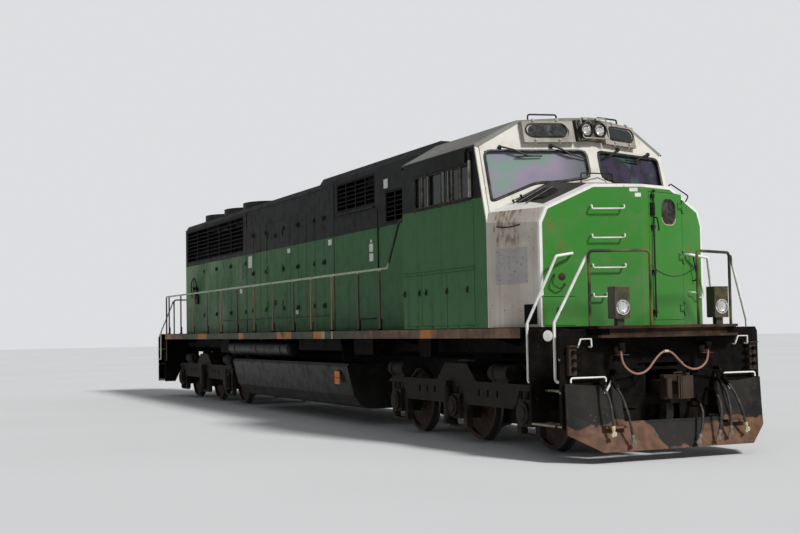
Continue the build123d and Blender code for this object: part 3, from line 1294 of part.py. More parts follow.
def build_hoses():
    hands = []
    for number in HOSES:
        tube, path = routed_tube(hose_points(number), HOSE_R)
        write(f"hose_front_{number}", tube)
        hands.append(glad_hand(path))
    write("glad_hands_front", hands)
    cable, path = routed_tube([Vector(CABLE_X, y, up(h)) for y, h in CABLE], CABLE_R)
    write("jumper_cable", cable)


build_bogies()
build_underframe()
write("coupler_front", coupler())
write("coupler_rear", turned(coupler()))
build_pilots()
build_plough()
build_tank()
build_underfloor()
build_hood()
build_grilles()
build_fans()
build_engine()
build_leaves()
build_cab()
build_cab_doors()
build_nose()
build_glass()
build_lamps()
build_rails()
build_interior()
build_hoses()
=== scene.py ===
"""Blender model of a six-axle diesel locomotive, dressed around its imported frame. Metres, +X to the cab, +Z up."""
import json
import math
import random

import bmesh
import bpy
from mathutils import Matrix, Vector

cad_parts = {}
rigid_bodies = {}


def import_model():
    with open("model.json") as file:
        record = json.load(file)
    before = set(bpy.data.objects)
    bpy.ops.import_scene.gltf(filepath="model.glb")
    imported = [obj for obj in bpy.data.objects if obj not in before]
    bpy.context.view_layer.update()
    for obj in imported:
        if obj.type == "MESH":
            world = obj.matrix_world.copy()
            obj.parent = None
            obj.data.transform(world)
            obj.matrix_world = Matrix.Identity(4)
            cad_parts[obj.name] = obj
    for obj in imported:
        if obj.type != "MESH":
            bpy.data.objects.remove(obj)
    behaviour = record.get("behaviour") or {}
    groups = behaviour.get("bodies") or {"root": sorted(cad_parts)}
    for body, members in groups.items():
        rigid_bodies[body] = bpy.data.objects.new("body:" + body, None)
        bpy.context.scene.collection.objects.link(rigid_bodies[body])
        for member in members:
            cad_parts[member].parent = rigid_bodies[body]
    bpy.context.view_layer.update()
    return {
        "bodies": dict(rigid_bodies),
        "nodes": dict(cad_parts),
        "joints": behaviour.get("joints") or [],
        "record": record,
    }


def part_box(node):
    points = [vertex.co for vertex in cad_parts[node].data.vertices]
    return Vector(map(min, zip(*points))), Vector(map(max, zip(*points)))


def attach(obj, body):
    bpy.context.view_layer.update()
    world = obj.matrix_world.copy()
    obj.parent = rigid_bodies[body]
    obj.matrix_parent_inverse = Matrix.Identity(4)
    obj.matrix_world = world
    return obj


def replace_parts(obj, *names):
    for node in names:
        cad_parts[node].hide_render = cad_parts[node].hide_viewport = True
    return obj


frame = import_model()
nodes = frame["nodes"]
RAIL_TOP = 0.028            # height of the rail above the flanges' lowest point
DRAW = random.Random(7)

# Places that the solids share with this file
HOOD_Y = 0.950
CAB_Y = 1.562
CAB_CORNER_X = 8.680
CAB_KNEE_Z = 3.074 + RAIL_TOP
FRONT_LEAN = 0.284
FRONT_V = 0.346
NOSE_TIP_X = 10.046
NOSE_SIDE_END_X = 9.615
NOSE_CORNER_Y = 1.302
NOSE_V = 0.431 / 1.302
# Three planes of the nose's top: a point on each, and its slopes along x and away from the middle
NOSE_ROOF = ((10.046, 0, 3.535, -0.133, -0.031), (9.817, 0.602, 3.547, -0.168, -0.537),
             (9.657, 1.218, 3.243, -0.813, -2.717))
BLACK_FROM_Z = 3.478        # the livery is black above this
BOGIE_X, AXLE_PITCH, AXLE_Z = 6.945, 2.07, 0.536


def tone(text):
    """A colour written as six hex digits of sRGB, in linear light."""
    parts = [int(text[i:i + 2], 16) / 255 for i in (0, 2, 4)]
    return tuple(p / 12.92 if p <= 0.04045 else ((p + 0.055) / 1.055) ** 2.4 for p in parts) + (1.0,)


def linked(name, data, look=None):
    """A new object in the scene, with a look where it has a surface."""
    if look:
        data.materials.append(LOOKS[look])
    made = bpy.data.objects.new(name, data)
    bpy.context.scene.collection.objects.link(made)
    return made


# Camera and light

CAMERA_PLACE = (23.4552, -9.5933, 1.666)
CAMERA_LENS = 55.73
CAMERA_YAW, CAMERA_PITCH, CAMERA_ROLL = 0.4270, 0.0513, -0.0170
KEY_FROM = (0.74, 0.20, 0.64)
KEY_ENERGY = 3.3
KEY_DEGREES = 9
SURROUND = (0.28, 0.29, 0.305, 1)
BACKDROP = (0.72, 0.73, 0.75, 1)


def place_camera():
    level = math.cos(CAMERA_PITCH)
    out = Vector((-math.cos(CAMERA_YAW) * level, math.sin(CAMERA_YAW) * level, math.sin(CAMERA_PITCH)))
    right = Vector((math.sin(CAMERA_YAW), math.cos(CAMERA_YAW), 0))
    above = right.cross(out)
    cos, sin = math.cos(CAMERA_ROLL), math.sin(CAMERA_ROLL)
    rows = Matrix((right * cos + above * sin, above * cos - right * sin, -out)).transposed().to_4x4()
    camera = linked("camera", bpy.data.cameras.new("camera"))
    camera.data.lens = CAMERA_LENS
    camera.data.sensor_width = 36
    camera.data.clip_end = 500
    camera.matrix_world = Matrix.Translation(CAMERA_PLACE) @ rows
    bpy.context.scene.camera = camera


def place_light():
    """A soft sun, and a studio that is paler where it is looked at than where it lights."""
    scene = bpy.context.scene
    scene.view_settings.view_transform = "Standard"
    key = bpy.data.lights.new("key", "SUN")
    key.energy = KEY_ENERGY
    key.angle = math.radians(KEY_DEGREES)
    linked("key", key).rotation_euler = Vector(KEY_FROM).to_track_quat("Z", "Y").to_euler()
    world = bpy.data.worlds.new("studio")
    scene.world = world
    world.use_nodes = True
    tree = world.node_tree
    path = tree.nodes.new("ShaderNodeLightPath")
    seen = tree.nodes.new("ShaderNodeMath")
    seen.operation = "MAXIMUM"
    tree.links.new(path.outputs["Is Camera Ray"], seen.inputs[0])
    tree.links.new(path.outputs["Is Transmission Ray"], seen.inputs[1])
    mix = tree.nodes.new("ShaderNodeMix")
    mix.data_type = "RGBA"
    tree.links.new(seen.outputs[0], mix.inputs["Factor"])
    mix.inputs[6].default_value = SURROUND
    mix.inputs[7].default_value = BACKDROP
    tree.links.new(mix.outputs[2], tree.nodes["Background"].inputs["Color"])


# Shaders

class Shade:
    """One procedural material, with short calls for its nodes."""

    def __init__(self, name, roughness=0.6, metallic=0.0):
        self.material = bpy.data.materials.new(name)
        self.material.use_nodes = True
        self.tree = self.material.node_tree
        self.shader = self.tree.nodes["Principled BSDF"]
        self.shader.inputs["Roughness"].default_value = roughness
        self.shader.inputs["Metallic"].default_value = metallic
        self.place = self.add("ShaderNodeTexCoord").outputs["Object"]
        split = self.add("ShaderNodeSeparateXYZ")
        self.put(self.place, split.inputs[0])
        self.x, self.y, self.z = split.outputs

    @property
    def wide(self):
        """Distance from the middle."""
        return self.size(self.y)

    def add(self, kind, **settings):
        node = self.tree.nodes.new(kind)
        for key, value in settings.items():
            setattr(node, key, value)
        return node

    def put(self, value, socket):
        if isinstance(value, bpy.types.NodeSocket):
            self.tree.links.new(value, socket)
        else:
            socket.default_value = value

    def math(self, operation, a, b=0.0, clamp=False):
        node = self.add("ShaderNodeMath", operation=operation, use_clamp=clamp)
        self.put(a, node.inputs[0])
        self.put(b, node.inputs[1])
        return node.outputs[0]

    def times(self, product, *others):
        for other in others:
            product = self.math("MULTIPLY", product, other)
        return product

    def plus(self, a, b):
        return self.math("ADD", a, b)

    def less(self, a, b):
        return self.math("SUBTRACT", a, b)

    def most(self, a, b):
        return self.math("MAXIMUM", a, b)

    def least(self, a, b):
        return self.math("MINIMUM", a, b)

    def over(self, a, limit):
        return self.math("GREATER_THAN", a, limit)

    def under(self, a, limit):
        return self.math("LESS_THAN", a, limit)

    def size(self, a):
        return self.math("ABSOLUTE", a)

    def far(self, a, b):
        """Distance of a point from the middle of its plane."""
        return self.math("SQRT", self.plus(self.times(a, a), self.times(b, b)))

    def ramp(self, value, low, high):
        """0 below low, 1 above high, and the other way round where low is the larger."""
        node = self.add("ShaderNodeMapRange", interpolation_type="SMOOTHSTEP")
        self.put(value, node.inputs[0])
        self.put(min(low, high), node.inputs[1])
        self.put(max(low, high), node.inputs[2])
        node.inputs[3].default_value = 0.0 if low < high else 1.0
        node.inputs[4].default_value = 1.0 if low < high else 0.0
        return node.outputs[0]

    def between(self, value, low, high):
        return self.times(self.over(value, low), self.under(value, high))

    def within(self, value, spans):
        """One inside any of the spans, else zero."""
        found = 0.0
        for low, high in spans:
            found = self.most(found, self.between(value, low, high))
        return found

    def boxed(self, **spans):
        """One inside the span of every axis named, else zero."""
        return self.times(*(self.between(getattr(self, axis), *span) for axis, span in spans.items()))

    def noise(self, scale, detail, stretch=None):
        node = self.add("ShaderNodeTexNoise")
        node.inputs["Scale"].default_value = scale
        node.inputs["Detail"].default_value = detail
        place = self.place
        if stretch:
            mapping = self.add("ShaderNodeMapping")
            mapping.inputs["Scale"].default_value = stretch
            self.put(place, mapping.inputs["Vector"])
            place = mapping.outputs[0]
        self.put(place, node.inputs["Vector"])
        return node.outputs[0]

    def patchy(self, scale, detail, low, high, stretch=None):
        return self.ramp(self.noise(scale, detail, stretch), low, high)

    def mix(self, share, a, b):
        node = self.add("ShaderNodeMix", data_type="RGBA")
        self.put(share, node.inputs["Factor"])
        self.put(a, node.inputs[6])
        self.put(b, node.inputs[7])
        return node.outputs[2]

    def mottled(self, scale, detail, low, high, a, b, stretch=None):
        """Patches of two tones."""
        return self.mix(self.patchy(scale, detail, low, high, stretch), tone(a), tone(b))

    def edge(self, radius):
        """1 near sharp edges."""
        bevel = self.add("ShaderNodeBevel", samples=4)
        bevel.inputs["Radius"].default_value = radius
        flat = self.add("ShaderNodeNewGeometry").outputs["Normal"]
        dot = self.add("ShaderNodeVectorMath", operation="DOT_PRODUCT")
        self.put(bevel.outputs[0], dot.inputs[0])
        self.put(flat, dot.inputs[1])
        return self.ramp(dot.outputs["Value"], 0.995, 0.90)

    def finish(self, colour, roughness=None, height=None, strength=0.2, distance=0.004):
        self.put(colour, self.shader.inputs["Base Color"])
        if roughness is not None:
            self.put(roughness, self.shader.inputs["Roughness"])
        if height is not None:
            bump = self.add("ShaderNodeBump")
            bump.inputs["Strength"].default_value = strength
            bump.inputs["Distance"].default_value = distance
            self.put(height, bump.inputs["Height"])
            self.put(bump.outputs[0], self.shader.inputs["Normal"])
        return self.material


CHALK = tone("8c9488")
DUST = tone("6f6454")
SOOT = tone("1c1b19")
RUST = tone("7a4326")
BARE = tone("8a8178")


def weathered(s, base, fade=0.2, streaks=0.25, grime=0.25, rust=0.4, edges=0.25, dusty_below=None,
              roughness=0.55, streak_tone=SOOT, shine=0.25):
    """Bleached patches, rain streaks, grime, rust spots and worn edges over a base colour."""
    s.shader.inputs["Specular IOR Level"].default_value = shine
    colour = s.mix(s.times(s.patchy(0.8, 4, 0.42, 0.66), fade), base, CHALK)
    grain = s.patchy(5.0, 7, 0.42, 0.78)
    colour = s.mix(s.times(grain, grime), colour, DUST)
    colour = s.mix(s.times(s.patchy(1.0, 6, 0.52, 0.74, (6.5, 6.5, 0.30)), streaks), colour, streak_tone)
    if edges:
        colour = s.mix(s.times(s.edge(0.008), s.patchy(9, 4, 0.45, 0.62), edges), colour, BARE)
    spots = s.times(s.patchy(26, 3, 0.64, 0.72), s.patchy(1.4, 3, 0.50, 0.62), rust)
    colour = s.mix(spots, colour, RUST)
    if dusty_below:
        dusty = s.times(s.ramp(s.z, dusty_below, dusty_below - 1.1), s.patchy(3.1, 6, 0.30, 0.75), 0.55)
        colour = s.mix(dusty, colour, DUST)
    rough = s.math("ADD", s.times(grain, 0.22), roughness - 0.08, clamp=True)
    height = s.plus(s.noise(60, 3), s.times(s.noise(4.5, 3), 3.0))
    return s.finish(colour, rough, height, 0.16, 0.003)


GREEN = tone("357a2b")
HOOD_GREEN = tone("38663a")
BLACK = tone("0b0b0b")
CREAM = tone("d0ccc1")
WHITE = tone("e2e1da")


def livery():
    """Green below and black above, with the cab's window frames and bars, its cream corners and sooty latches."""
    s = Shade("livery_paint")
    ragged = s.plus(s.z, s.times(s.noise(3, 2), 0.01))
    base = s.mix(s.ramp(ragged, BLACK_FROM_Z - 0.002, BLACK_FROM_Z + 0.004), HOOD_GREEN, BLACK)
    chalky = s.times(s.patchy(1.3, 5, 0.30, 0.65, (0.5, 1, 0.4)), s.ramp(s.z, BLACK_FROM_Z + 0.01, BLACK_FROM_Z),
                     s.ramp(s.x, -1.0, -8.5))
    base = s.mix(chalky, base, tone("76906c"))
    wide = s.wide
    framed = s.times(s.boxed(z=(3.484, 3.996), x=(6.362, 8.268)), s.ramp(wide, 1.5628, 1.5636))
    base = s.mix(framed, base, s.mottled(14, 5, 0.52, 0.62, "171614", "4d4339"))
    openings = s.within(s.x, ((6.391, 6.829), (6.901, 7.499), (7.571, 8.189)))
    barred = s.times(s.boxed(z=(3.509, 3.972), wide=(1.506, 1.5615)), openings)
    blade = s.times(s.boxed(x=(8.229, 8.262), z=(3.45, 4.02)), s.ramp(wide, 1.572, 1.576))
    base = s.mix(s.most(blade, barred), base, s.mottled(8, 5, 0.35, 0.65, "6d6c63", "aaa89a"))
    leaning = s.plus(s.x, s.times(s.most(s.less(s.z, CAB_KNEE_Z), 0.0), FRONT_LEAN))
    corner = s.times(s.over(leaning, CAB_CORNER_X - 0.024), s.over(wide, 1.49))
    base = s.mix(corner, base, CREAM)
    latched = s.times(s.ramp(wide, 0.9600, 0.9606), s.ramp(wide, 1.2, 1.1))
    base = s.mix(latched, base, SOOT)
    return weathered(s, base, fade=0.03, streaks=0.35, grime=0.06, rust=0.25, edges=0.12, shine=0.2)


def nose_paint():
    """Green front with a white edge line, weathered cream sides and a dark top with white bands."""
    s = Shade("nose_paint", 0.45)
    wide = s.wide

    def below(x0, y0, z0, sx, sy):
        """Distance below one plane of the nose's top."""
        rise = s.plus(s.plus(s.times(s.x, -sx), s.times(wide, -sy)), s.z)
        return s.times(s.less(z0 - sx * x0 - sy * y0, rise), 1 / math.hypot(1, sy))

    line = 0.036
    under_top, in_corner = s.less(NOSE_ROOF[0][2], s.z), s.less(NOSE_CORNER_Y, wide)
    near = s.least(s.least(below(*NOSE_ROOF[1]), below(*NOSE_ROOF[2])), s.least(under_top, in_corner))
    green = s.mix(s.ramp(near, line + 0.002, line - 0.002), GREEN, WHITE)
    for y, z in ((-1.02, 2.70), (1.02, 2.70), (-0.40, 2.16), (-1.16, 3.00)):
        reach = s.far(s.less(s.y, y), s.less(s.z, z))
        green = s.mix(s.times(s.ramp(reach, 0.13, 0.02), s.patchy(16, 6, 0.42, 0.60), 0.8), green, tone("6a6430"))
    cream = s.mix(s.times(s.patchy(1.2, 6, 0.35, 0.68, (1.6, 1.6, 0.5)), 0.75), CREAM, tone("b0a597"))
    cream = s.mix(s.times(s.patchy(1.6, 6, 0.50, 0.70, (7, 7, 0.25)), 0.35), cream, tone("8a5f3e"))
    worn = s.boxed(x=(8.82, 9.40), z=(2.256, 2.739))
    cream = s.mix(s.times(worn, 0.65), cream, s.mottled(30, 3, 0.60, 0.66, "9c9b9e", "5f5750"))
    rusting = s.times(s.between(s.x, 8.80, 9.26), s.ramp(s.z, 2.72, 2.86), s.ramp(s.z, 3.42, 3.2),
                      s.patchy(15, 7, 0.44, 0.64, (1, 1, 0.5)), 0.75)
    cream = s.mix(rusting, cream, tone("74583c"))
    across = s.plus(s.x, s.times(wide, NOSE_V))
    dark = s.mix(s.ramp(wide, 1.16, 1.17), tone("35332f"), WHITE)
    dark = s.mix(s.ramp(across, NOSE_TIP_X - 0.16, NOSE_TIP_X - 0.15), dark, WHITE)
    normal = s.add("ShaderNodeSeparateXYZ")
    s.put(s.add("ShaderNodeNewGeometry").outputs["Normal"], normal.inputs[0])
    upward = s.ramp(normal.outputs[2], 0.55, 0.7)
    front = s.ramp(across, NOSE_TIP_X - 0.035, NOSE_TIP_X - 0.025)
    base = s.mix(upward, s.mix(front, cream, green), dark)
    return weathered(s, base, fade=0.08, streaks=0.14, grime=0.18, rust=0.9, edges=0.35, roughness=0.45,
                     streak_tone=RUST)


def plain_paint(name, colour, **settings):
    return weathered(Shade(name), tone(colour), **settings)


def cast(name, colour, rust=0.5, dusty_below=0.9):
    """Rough castings with brown mottling."""
    s = Shade(name)
    base = s.mix(s.times(s.patchy(11, 6, 0.35, 0.7), 0.5), tone(colour), tone("2b221b"))
    return weathered(s, base, fade=0.0, streaks=0.2, grime=0.15, rust=rust, edges=0.2, dusty_below=dusty_below,
                     roughness=0.75)


def frame_paint():
    """Black underframe paint, with its brown lip, pale step treads and the white grabs under the platform's edge."""
    s = Shade("frame_paint")
    lip = s.times(s.over(s.x, 10.58), s.between(s.z, 1.535, 1.70))
    # Partly painted shade: the black is partly the paint's own tone and partly made darker for the shade under the
    # anticlimber on the pilot
    black = s.mottled(7, 6, 0.35, 0.7, "080706", "14100e")
    base = s.mix(lip, black, s.mottled(5, 6, 0.35, 0.7, "2c211b", "4a382d"))
    treads = s.times(s.within(s.z, ((0.440, 0.4640), (0.855, 0.8790), (1.260, 1.2840))),
                     s.between(s.size(s.x), 9.702, 10.418), s.between(s.wide, 0.885, 1.540),
                     s.patchy(9, 5, 0.34, 0.5))
    base = s.mix(treads, base, tone("9a9384"))
    base = s.mix(s.boxed(x=(10.424, 10.60), z=(1.405, 1.531), wide=(1.096, 1.324)), base, WHITE)
    return weathered(s, base, fade=0.0, streaks=0.2, grime=0.02, rust=0.4, edges=0.12, dusty_below=0.8,
                     roughness=0.75, shine=0.06)


def wheel_steel():
    """Rusty wheels with a smoother grey tread."""
    s = Shade("wheel_steel", 0.6)
    beside = s.less(s.size(s.x), BOGIE_X)
    beside = s.less(beside, s.times(s.math("ROUND", s.times(beside, 1 / AXLE_PITCH)), AXLE_PITCH))
    tread = s.ramp(s.far(beside, s.less(s.z, AXLE_Z)), 0.485, 0.50)
    colour = s.mix(tread, s.mottled(9, 6, 0.35, 0.7, "3b2c22", "5c4636"), tone("4e4a46"))
    s.put(s.times(tread, 0.6), s.shader.inputs["Metallic"])
    return s.finish(colour, s.less(0.74, s.times(tread, 0.30)), s.noise(40, 4), 0.2, 0.002)


def worn_and_shaded_alloy():
    """Pale alloy, with painted shade on the glad hands between the two outer ones."""
    s = Shade("worn_and_shaded_alloy")
    # Painted shade: a darker tone on the glad hands low down between the two outer ones
    painted_shade = s.times(s.between(s.y, -0.90, 0.90), s.under(s.z, 0.60))
    base = s.mix(painted_shade, tone("c2b795"), tone("6e6353"))
    return weathered(s, base, grime=0.35, rust=0.3, edges=0.2, roughness=0.4)


def plough_paint():
    """Black paint worn to brown steel along a ragged line, with a white top edge."""
    s = Shade("plough_paint")
    line = s.plus(s.z, s.times(s.noise(3.2, 6), -0.42))
    line = s.plus(line, s.times(s.ramp(s.size(s.less(s.y, 0.05)), 0.55, 0.15), 0.34))
    base = s.mix(s.ramp(line, 0.30, 0.27), tone("0d0b0a"), s.mottled(8, 7, 0.3, 0.7, "4a3324", "6b4b38"))
    base = s.mix(s.over(s.z, 0.990), base, WHITE)
    return weathered(s, base, fade=0.0, streaks=0.2, grime=0.14, rust=0.8, edges=0.3, roughness=0.7,
                     streak_tone=tone("3a2618"))


def side_rail_paint():
    """Brown posts, a pale green rail above them and its dark end."""
    s = Shade("side_rail_paint")
    split_z = 2.64
    posts = s.mottled(0.55, 2, 0.45, 0.55, "4b4434", "8a7350", (1, 0, 0))
    base = s.mix(s.ramp(s.z, split_z - 0.01, split_z + 0.01), posts, tone("a9b89c"))
    base = s.mix(s.ramp(s.z, 2.72, 2.78), base, tone("1d2a1e"))
    return weathered(s, base, fade=0.1, streaks=0.1, grime=0.35, rust=0.8, edges=0.3)


def end_rail_paint():
    """White rails at the corners, olive ones between them and a dark one on the roof."""
    s = Shade("end_rail_paint")
    outer = s.most(s.ramp(s.wide, 1.12, 1.16), s.ramp(s.size(s.x), 10.36, 10.34))
    base = s.mix(outer, s.mottled(3, 5, 0.4, 0.62, "27251d", "5d5a2c"), WHITE)
    base = s.mix(s.ramp(s.z, 4.3, 4.35), base, tone("1b1b1b"))
    return weathered(s, base, fade=0.0, streaks=0.1, grime=0.35, rust=0.9, edges=0.3)


def housing_paint():
    """Pale number board boxes, and dark olive round the headlamps and the ditch lamps."""
    s = Shade("housing_paint")
    dark = s.most(s.under(s.z, 3.0), s.under(s.wide, 0.2165))
    olive = s.mottled(6, 5, 0.35, 0.65, "26241a", "4a4328")
    base = s.mix(dark, s.mottled(5, 4, 0.3, 0.7, "a39c90", "8d857a"), olive)
    return weathered(s, base, fade=0.05, streaks=0.15, grime=0.2, rust=0.8, edges=0.3)


def screen_glass():
    """Window glass with a painted sheen of reflected sky on the right windscreen, painted dark reflections on the
    left one, and painted shade of the cab inside on the side windows.
    """
    s = Shade("screen_glass", 0.08)
    # Painted reflection: a faint coloured sheen of the sky across the right windscreen, greyer towards the middle
    sky_sheen = s.add("ShaderNodeValToRGB")
    band = s.plus(s.times(s.noise(1.25, 3), 1.5), s.times(s.z, 0.12))
    s.put(s.less(band, 0.72), sky_sheen.inputs[0])
    first, last = sky_sheen.color_ramp.elements
    first.color, first.position = tone("869b9e"), 0.0
    last.color, last.position = tone("8fa3a4"), 1.0
    for text, at in (("8f8a9a", 0.22), ("9a8da0", 0.38), ("7d9a8b", 0.55), ("8f8b9c", 0.7)):
        sky_sheen.color_ramp.elements.new(at).color = tone(text)
    greyer = s.mix(s.ramp(s.y, -0.55, -0.12), sky_sheen.outputs[0], tone("6f7273"))
    # Painted reflections: dark glass with coloured blots on the left windscreen
    dark_reflections = s.mottled(4.5, 3, 0.45, 0.56, "171b20", "33263f")
    dark_reflections = s.mix(s.patchy(3.4, 3, 0.56, 0.62, (1, 1, 0.6)), dark_reflections, tone("2b4a44"))
    colour = s.mix(s.ramp(s.y, 0.02, 0.03), greyer, dark_reflections)
    # Painted shade: the side windows are dark for the shade inside the cab
    colour = s.mix(s.ramp(s.wide, 1.48, 1.5), colour, tone("23251f"))
    s.shader.inputs["Alpha"].default_value = 0.86
    s.shader.inputs["Coat Weight"].default_value = 0.6
    return s.finish(colour, s.patchy(5, 3, -0.5, 6.0))


def sill_paint():
    """Green sill face with patches of orange-brown rust and old cream."""
    s = Shade("sill_paint")
    green = s.mottled(2.2, 5, 0.4, 0.6, "2f3a2b", "49432f")
    brown = s.mottled(3.5, 6, 0.35, 0.65, "4f3826", "7d6048")
    base = s.mix(s.most(s.ramp(s.x, 3.2, 4.6), s.ramp(s.x, -7.4, -8.4)), green, brown)
    orange = s.within(s.x, ((1.88, 2.30), (-0.20, 0.66), (-2.80, -2.20), (-6.20, -5.40), (-9.3, -8.9), (6.50, 7.00)))
    base = s.mix(s.times(orange, s.patchy(2.4, 5, 0.30, 0.50)), base, tone("b0702f"))
    base = s.mix(s.within(s.x, ((2.30, 2.47), (2.79, 2.87))), base, tone("a89d82"))
    return weathered(s, base, fade=0.0, streaks=0.4, grime=0.2, rust=0.8, edges=0.3)


def board_glass():
    s = Shade("board_glass", 0.12)
    s.shader.inputs["Coat Weight"].default_value = 0.5
    return s.finish(s.mottled(12, 4, 0.4, 0.8, "1b201f", "2b302c"), s.patchy(16, 3, -0.3, 3.0))


def clear_glass():
    s = Shade("lamp_glass", 0.05)
    s.shader.inputs["Transmission Weight"].default_value = 1.0
    s.shader.inputs["IOR"].default_value = 1.3
    return s.finish(s.mix(s.patchy(9, 3, 0.4, 0.8), (0.95, 0.95, 0.93, 1), (0.85, 0.85, 0.80, 1)))


def chrome():
    s = Shade("chrome", 0.12, 1.0)
    return s.finish(s.mix(s.patchy(14, 4, 0.4, 0.8), (0.86, 0.86, 0.86, 1), (0.62, 0.60, 0.57, 1)),
                    s.patchy(20, 3, -0.4, 3.2), s.noise(28, 2), 0.25, 0.004)


def rubber(name, colour, roughness=0.65):
    s = Shade(name, roughness)
    dusty = s.times(s.patchy(14, 5, 0.40, 0.75), 0.4)
    return s.finish(s.mix(dusty, tone(colour), DUST), None, s.noise(90, 3), 0.25, 0.001)


def cloth(name, colour):
    s = Shade(name, 0.9)
    s.shader.inputs["Sheen Weight"].default_value = 0.3
    weave = s.plus(s.noise(420, 2, (1, 6, 1)), s.noise(420, 2, (6, 1, 1)))
    worn = s.times(s.patchy(6, 5, 0.4, 0.7), 0.3)
    return s.finish(s.mix(worn, tone(colour), DUST), None, weave, 0.3, 0.001)


def floor_paint():
    s = Shade("floor_paint", 0.9)
    return s.finish(s.mix(s.patchy(0.15, 3, 0.3, 0.7), (0.66, 0.66, 0.655, 1), (0.69, 0.69, 0.685, 1)))


LOOKS = {
    "livery": livery(),
    "nose": nose_paint(),
    "cream": plain_paint("cream_paint", "d0ccc1", fade=0.05, streaks=0.16, grime=0.22, rust=0.8, edges=0.3,
                         roughness=0.5, streak_tone=tone("8a6a4c")),
    "white": plain_paint("white_paint", "dcdcd4", streaks=0.1, grime=0.3, rust=0.9, edges=0.3),
    "green": plain_paint("nose_door_paint", "357a2b", fade=0.08, streaks=0.1, grime=0.15, rust=0.5, edges=0.3),
    "roof": plain_paint("roof_paint", "7a7875", fade=0.3, streaks=0.1, grime=0.35, rust=0.2, roughness=0.85,
                        shine=0.12),
    "black": plain_paint("black_paint", "0e0e0d", fade=0.03, streaks=0.15, grime=0.08, rust=0.25, edges=0.15),
    "frame": frame_paint(),
    "tank": plain_paint("tank_paint", "11100f", fade=0.03, streaks=0.3, grime=0.10, rust=0.25, dusty_below=0.8,
                        roughness=0.5, shine=0.2),
    "bogie": cast("bogie_paint", "15120f"),
    "motor": cast("motor_paint", "100e0d", rust=0.3),
    "coupler": cast("coupler_cast", "35271e", rust=0.9, dusty_below=None),
    "wheel": wheel_steel(),
    "plough": plough_paint(),
    "side_rail": side_rail_paint(),
    "end_rail": end_rail_paint(),
    "lamp_case": plain_paint("lamp_case_paint", "37321f", grime=0.25, rust=0.9, edges=0.4),
    "board": plain_paint("board_paint", "a9a498", grime=0.4, rust=0.5, edges=0.3),
    "housing": housing_paint(),
    "grille": plain_paint("grille_paint", "060606", fade=0.0, streaks=0.05, grime=0.04, rust=0.1, edges=0.05,
                          shine=0.1),
    "fan": plain_paint("fan_paint", "131312", fade=0.03, grime=0.15, rust=0.2),
    "engine": plain_paint("engine_paint", "6d6f6c", grime=0.4, rust=0.1),
    "floor": plain_paint("cab_floor_paint", "4b4b49", grime=0.4, rust=0.0),
    "desk": plain_paint("desk_paint", "5c605e", grime=0.2, rust=0.0, edges=0.2),
    "screen": screen_glass(),
    "glass": clear_glass(),
    "chrome": chrome(),
    "rubber": rubber("hose_rubber", "141414"),
    "cable": rubber("cable_rubber", "92695a"),
    "seal": rubber("window_seal", "0d0d0d", 0.5),
    "sill": sill_paint(),
    "orange": plain_paint("orange_paint", "e07a26", grime=0.1, rust=0.3),
    "alloy": plain_paint("window_alloy", "a8aaa2", grime=0.45, rust=0.5, edges=0.2, roughness=0.45),
    "board_glass": board_glass(),
    "metal": worn_and_shaded_alloy(),
    "cloth": cloth("seat_cloth", "2a2c33"),
    "stage": floor_paint(),
}

NODE_LOOKS = (
    ("livery", ("hood_radiator", "hood_engine", "hood_front", "hood_door_", "cab_side_", "cab_rear", "cab_door_")),
    ("nose", ("nose_shell",)), ("green", ("nose_door",)), ("cream", ("cab_front",)), ("roof", ("cab_roof",)),
    ("frame", ("underframe", "pilots", "underfloor_gear")), ("tank", ("fuel_tank", "air_reservoirs")),
    ("bogie", ("bogie_front_frame", "bogie_rear_frame", "bogie_front_boxes", "bogie_rear_boxes")),
    ("motor", ("bogie_front_motors", "bogie_rear_motors")), ("coupler", ("coupler_",)), ("wheel", ("wheelset_",)),
    ("plough", ("plough",)), ("side_rail", ("handrails_side",)), ("end_rail", ("handrails_end",)),
    ("housing", ("lamp_housings",)), ("glass", ("lamp_lenses",)), ("grille", ("hood_grilles",)),
    ("fan", ("fan_rotor_", "roof_fan_housings")), ("engine", ("engine_block",)), ("floor", ("cab_floor",)),
    ("black", ("handbrake_wheel",)), ("desk", ("control_desk",)), ("screen", ("cab_glass",)),
    ("cloth", ("cab_seats",)), ("metal", ("glad_hands_front",)), ("rubber", ("hose_front_",)),
    ("cable", ("jumper_cable",)),
)


def dress_nodes():
    for look, starts in NODE_LOOKS:
        for name, node in nodes.items():
            if name.startswith(starts):
                node.data.materials.clear()
                node.data.materials.append(LOOKS[look])


# Mesh pieces

SIDES = ("right", "left")


def turns(count, start=0.0):
    """Angles round a full turn."""
    return [2 * math.pi * (k + start) / count for k in range(count)]


